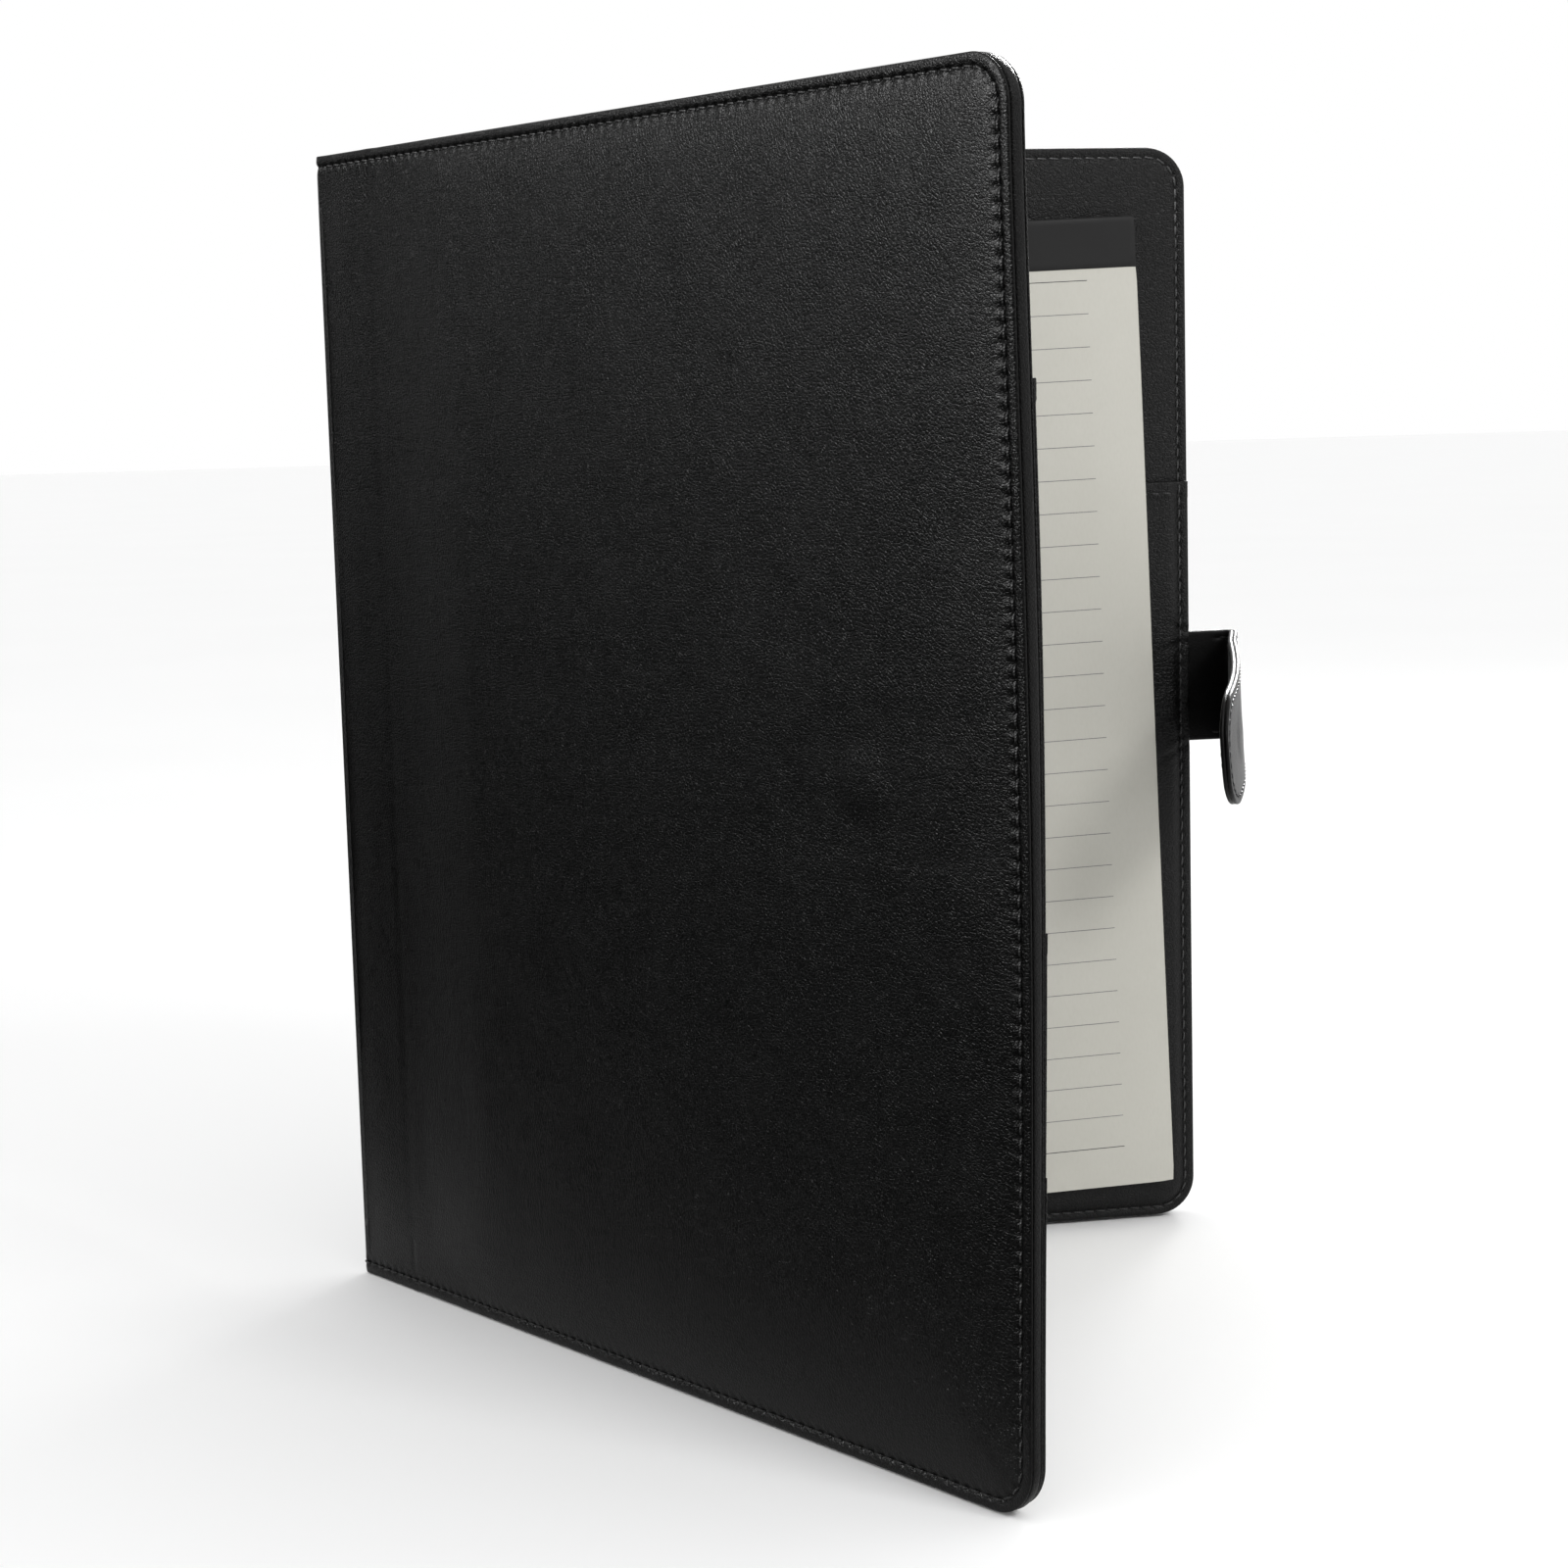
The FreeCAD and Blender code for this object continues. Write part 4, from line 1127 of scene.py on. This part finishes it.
def tab_relief(outline, u, z, sign):
    """Seam, needle holes and the magnet's round bump, on the outer (1) or inner (-1) face."""
    ring_u, ring_z = outline.ring(STRAP_INSET, 160, 60)
    reach = lengths_along(ring_u, ring_z)
    gap = (u[:, None] - ring_u[None, :]) ** 2 + (z[:, None] - ring_z[None, :]) ** 2
    nearest = gap.argmin(axis=1)
    off = np.sqrt(gap.min(axis=1))
    holes = np.cos(2 * math.pi * reach[nearest] / STRAP_PITCH)
    bump = 0.30 * (1 - smooth(np.hypot(u - MAGNET_U, z - STRAP_MIDDLE), 5.5, 9.0))
    soft = 0.10 * ripple(u / 9, z / 11, 311 + sign)
    return bump + soft * smooth(off, 1, 5) - 0.20 * bell(off, 0.55) - 0.10 * holes * bell(off, 0.9)


MAGNET_U = MAGNET_AT - TAB_FOLD.reach + TAB_FOLD.half_arc


def make_strap():
    split = -BRIDGE_LENGTH / 2
    tip = TAB_LENGTH - TAB_FOLD.reach + TAB_FOLD.half_arc
    tab = Outline(split, tip, STRAP_HIGH, STRAP_LOW, radius=15.6)

    def outer(u, z):
        return STRAP_THICK + tab_relief(tab, u, z, 1) * smooth(u, split, split + 2)

    def inner(u, z):
        return -STRAP_THICK - tab_relief(tab, u, z, -1) * smooth(u, split, split + 2)

    piece = panel_object(
        "strap_tab_leather", tab, STRAP_STEP, STRAP_FINE, STRAP_EDGE, outer, inner, strap_place,
        STRAP_LEATHER,
    )
    blend_tab(piece)
    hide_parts("tab_outer_leather", "tab_inner_leather", "strap_tab_fold", "tab_magnet")

    ring_u, ring_z = tab.ring(STRAP_INSET, 400, 160)
    reach = lengths_along(ring_u, ring_z)
    s = (np.arange(int(reach[-1] / STRAP_PITCH)) + 0.5) * STRAP_PITCH
    u, z = np.interp(s, reach, ring_u), np.interp(s, reach, ring_z)
    ahead_u, ahead_z = np.interp(s + 0.3, reach, ring_u), np.interp(s + 0.3, reach, ring_z)
    angle = np.arctan2(ahead_z - z, ahead_u - u)
    rows = [surface_frame(strap_place, outer, u, z, angle)]
    centre, travel, normal = surface_frame(strap_place, inner, u, z, angle)
    rows.append((centre, travel, -normal))
    centre, travel, normal = join_rows(rows)
    threads = stitch_object(
        "strap_stitches", centre + 0.08 * normal, travel, normal, THREAD, length=2.4, radius=0.26,
    )
    blend_tab(threads)
    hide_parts("tab_seam_thread")

    def bridge_place(u, z, h):
        return strap_place(-u, z, h)

    root = Outline(-split, BRIDGE_LENGTH + 5.0, STRAP_HIGH, STRAP_LOW, radius=1.5)
    piece = panel_object(
        "strap_bridge_leather", root, STRAP_STEP, STRAP_FINE, STRAP_EDGE,
        level_at(STRAP_THICK), level_at(-STRAP_THICK), bridge_place, STRAP_LEATHER,
    )
    start, end = next_to(R, BRIDGE_ALONG, -2.5), next_to(R, BRIDGE_ALONG, 2.5)
    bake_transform(piece)
    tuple(start)
    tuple(end)
    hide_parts("strap_root_fold", "strap_outer_leather", "strap_inner_leather")


# Pad ----------------------------------------------------------------------------------------

# The photographed pad lies a little further from the fore edge, with its pages pushed up.
PAD_SHIFT = 0.9
PAGES_LIFT = 1.3


class PadFrame:
    """The leaning pad: p runs across it, q runs up it, both from its lower left corner."""

    def __init__(self):
        points = node_points("pad_backing_card")
        self.corner = points[points[:, 2].argmin()] - np.array([PAD_SHIFT, 0, 0])
        right = points[points[:, 0].argmax()] - points[points[:, 2].argmin()]
        right[1] = 0
        self.width = float(np.linalg.norm(right))
        self.across = right / self.width
        self.up = np.array([-self.across[2], 0.0, self.across[0]])
        top = points[points[:, 2].argmax()] - self.corner
        self.length = float(top @ self.up)

    def place(self, p, q, depth):
        p, q, depth = np.broadcast_arrays(np.asarray(p, float), q, depth)
        spot = self.corner + p[..., None] * self.across + q[..., None] * self.up
        spot[..., 1] = -depth
        return spot

    def depths(self, node):
        low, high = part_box(node)
        return -high[1] / MM, -low[1] / MM


PAD = PadFrame()
SHEETS_TOP = float(((node_points("pad_sheets") - PAD.corner) @ PAD.up).max()) + PAGES_LIFT
RULES = 28
RULE_FIRST, RULE_STEP = 278.4, 9.85
RULE_MARGIN = 15.5
RULE_POINTS = 60
LAYERS = 13


def page_wave(p, q):
    """The loosened upper pages: a slight lift at the free edges and a shallow dent."""
    edge = smooth(p, PAD.width - 60, PAD.width)
    dent = -0.35 * bell(p - PAD.width + 26, 22) * bell(q - 118, 46)
    foot = smooth(60 - q, 0, 60)
    lift = 0.35 * edge * (1 - 0.6 * bell(q - 120, 60)) + 0.25 * foot * edge
    return lift + dent + 0.06 * ripple(p / 40, q / 50, 401)


def make_pad():
    back, near = PAD.depths("pad_sheets")

    def page(p, q):
        calm = smooth(SHEETS_TOP - q, 0, 40)
        return near + page_wave(p, q) * calm

    ridges = []
    for layer in range(LAYERS):
        level = layer / LAYERS
        out = 0.10 * (0.5 + 0.5 * math.sin(layer * 2.4))
        ridges += [(out + 0.14, level + 0.006), (out, level + 0.02)]
        ridges += [(out, level + 0.055), (out + 0.14, level + 0.07)]
    profile = [(6.0, 0.0), (1.0, 0.0), (0.15, 0.0)] + ridges
    profile += [(0.05, 0.97), (0.0, 0.99), (0.0, 1.0), (0.6, 1.0), (2.0, 1.0), (6.0, 1.0)]
    sheets = panel_object(
        "ruled_sheets", Outline(0.0, PAD.width, SHEETS_TOP, 0.0, radius=0.8), 4.2, 1, profile,
        page, level_at(back), PAD.place, PAPER,
    )
    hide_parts("pad_sheets")

    card_back, card_near = PAD.depths("pad_backing_card")
    card_edge = [(6.0, 0.0), (1.0, 0.0), (0.15, 0.04), (0.0, 0.25), (0.0, 0.75), (0.15, 0.96),
                 (1.0, 1.0), (6.0, 1.0)]
    card = panel_object(
        "pad_card", Outline(0.0, PAD.width, PAD.length - 0.4, 0.0, radius=1.5), 6.0, 2, card_edge,
        level_at(card_near), level_at(card_back), PAD.place, CARD,
    )
    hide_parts("pad_backing_card")

    strip_back, strip_near = PAD.depths("pad_binding_strip")
    strip_edge = [(4.0, 0.0), (1.0, 0.0), (0.4, 0.05), (0.1, 0.2), (0.0, 0.45), (0.0, 0.7),
                  (0.1, 0.88), (0.35, 0.97), (0.8, 1.0), (2.0, 1.0), (4.0, 1.0)]

    def tape(p, q):
        return strip_near + 0.05 * ripple(p / 25, q / 9, 421)

    strip_outline = Outline(-0.15, PAD.width + 0.15, PAD.length, SHEETS_TOP - 0.4, radius=0.6)
    strip = panel_object(
        "pad_binding", strip_outline, 3.0, 2, strip_edge, tape, level_at(strip_back), PAD.place, TAPE,
    )
    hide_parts("pad_binding_strip")

    for name, rows, material in (
        ("page_rules", range(1, RULES - 1), INK), ("page_end_rules", (0, RULES - 1), DARK_INK),
    ):
        vertices, faces, space = [], [], []
        p = np.linspace(RULE_MARGIN, PAD.width - RULE_MARGIN, RULE_POINTS)
        for row in rows:
            q = RULE_FIRST - row * RULE_STEP
            loop = [(-0.14, -0.05), (-0.11, 0.018), (0.11, 0.018), (0.14, -0.05)]
            base = len(vertices)
            for step, across in enumerate(p):
                for up, lift in loop:
                    depth = page(np.array([across]), np.array([q]))[0] + lift
                    vertices.append(PAD.place(across, q + up, depth))
                    space.append((across, q + up, 0))
                if step:
                    a = base + 4 * (step - 1)
                    for k in range(4):
                        beside = (k + 1) % 4
                        faces.append([a + k, a + 4 + k, a + 4 + beside, a + beside])
            last = base + 4 * (RULE_POINTS - 1)
            faces += [[base, base + 1, base + 2, base + 3], [last + k for k in (3, 2, 1, 0)]]
        rules = make_object(name, np.array(vertices), faces, material, np.array(space))
        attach(rules, "notepad")
    for piece in (sheets, card, strip):
        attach(piece, "notepad")


make_skins()
make_outer_stitches()
make_linings()
make_inner_stitches()
make_hinge_linings()
make_strap()
make_pad()

# Stage --------------------------------------------------------------------------------------


def make_camera():
    data = bpy.data.cameras.new("camera")
    data.lens = 66.877
    data.sensor_width = 36.0
    data.clip_start, data.clip_end = 0.01, 50.0
    camera = bpy.data.objects.new("camera", data)
    bpy.context.scene.collection.objects.link(camera)
    forward = Vector((0.17395, 0.97682, -0.12472)).normalized()
    right = Vector((0.98451, -0.17532, 0.0)).normalized()
    up = right.cross(forward)
    roll = 0.02641
    right, up = (right - roll * up).normalized(), (up + roll * right).normalized()
    turn = Matrix((right, up, -forward)).transposed()
    camera.matrix_world = Matrix.Translation(Vector((-153.2, -861.6, 252.1)) * MM) @ turn.to_4x4()
    bpy.context.scene.camera = camera


def make_floor():
    half, rows = 20.0, 24
    spots = np.linspace(-half, half, rows + 1)
    x, y = np.meshgrid(spots, spots, indexing="ij")
    vertices = np.stack([x.ravel(), y.ravel(), np.full(x.size, -0.0004)], axis=1) / MM
    k = np.arange(rows * (rows + 1)).reshape(rows, rows + 1)[:, :rows].ravel()
    faces = np.stack([k, k + rows + 1, k + rows + 2, k + 1], axis=1).tolist()
    m = Material("floor", Specular_IOR_Level=0.2)
    tint = m.noise(m.rest(), 3.0, 2.0)
    material = m.finish(m.mix(tint, grey(0.94), grey(0.96)), m.span(tint, 0.3, 0.7, 0.75, 0.85))
    floor = make_object("floor", vertices, faces, material)


def make_flags():
    """Dark studio cards beside the front cover, which show only in its gloss."""
    outward = -INWARD

    def spot(u, h, z):
        flat = B + u * ACROSS + h * outward
        return (flat[0], flat[1], z)

    m = Material("flag", Specular_IOR_Level=0.0)
    material = m.finish(m.mix(m.noise(m.rest(), 4.0), grey(0.004), grey(0.006)), 0.9)
    near, far, first, last, tall = 38.0, 1300.0, -5000.0, 1500.0, 3800
    for name, low, high in (
        ("floor_flag", (near, 1), (far, 1)), ("side_flag", (far, 0), (far, tall)),
    ):
        corners = [spot(first, *low), spot(last, *low), spot(last, *high), spot(first, *high)]
        card = make_object(name, corners, [[0, 1, 2, 3]], material)
        for ray in ("camera", "diffuse", "transmission", "volume_scatter", "shadow"):
            setattr(card, "visible_" + ray, False)


def area_light(name, place, aim, size, power):
    """A rectangular softbox; place, aim and size are in metres."""
    data = bpy.data.lights.new(name, "AREA")
    data.shape = "RECTANGLE"
    data.size, data.size_y = size
    data.energy = power
    item = bpy.data.objects.new(name, data)
    bpy.context.scene.collection.objects.link(item)
    item.location = place
    item.rotation_mode = "QUATERNION"
    item.rotation_quaternion = (Vector(aim) - Vector(place)).to_track_quat("-Z", "Y")
    return item


def make_lights():
    world = bpy.data.worlds.new("studio")
    world.use_nodes = True
    world.node_tree.nodes["Background"].inputs["Color"].default_value = (1.0, 1.0, 1.0, 1.0)
    world.node_tree.nodes["Background"].inputs["Strength"].default_value = 1.0
    bpy.context.scene.world = world
    key = area_light("key_softbox", (-1.2, -0.42, 0.92), (0.0, -0.2, 0.28), (0.45, 0.45), 55.0)
    rear = area_light("rear_softbox", (1.1, 1.5, 1.1), (0.0, 0.0, 0.2), (0.5, 0.5), 90.0)
    for light in (key, rear):
        light.visible_diffuse = False
    area_light("side_softbox", (0.75, -1.1, 1.05), (0.05, -0.05, 0.15), (0.4, 0.4), 8.0)


make_camera()
make_floor()
make_flags()
make_lights()
bpy.context.scene.view_settings.view_transform = "Standard"
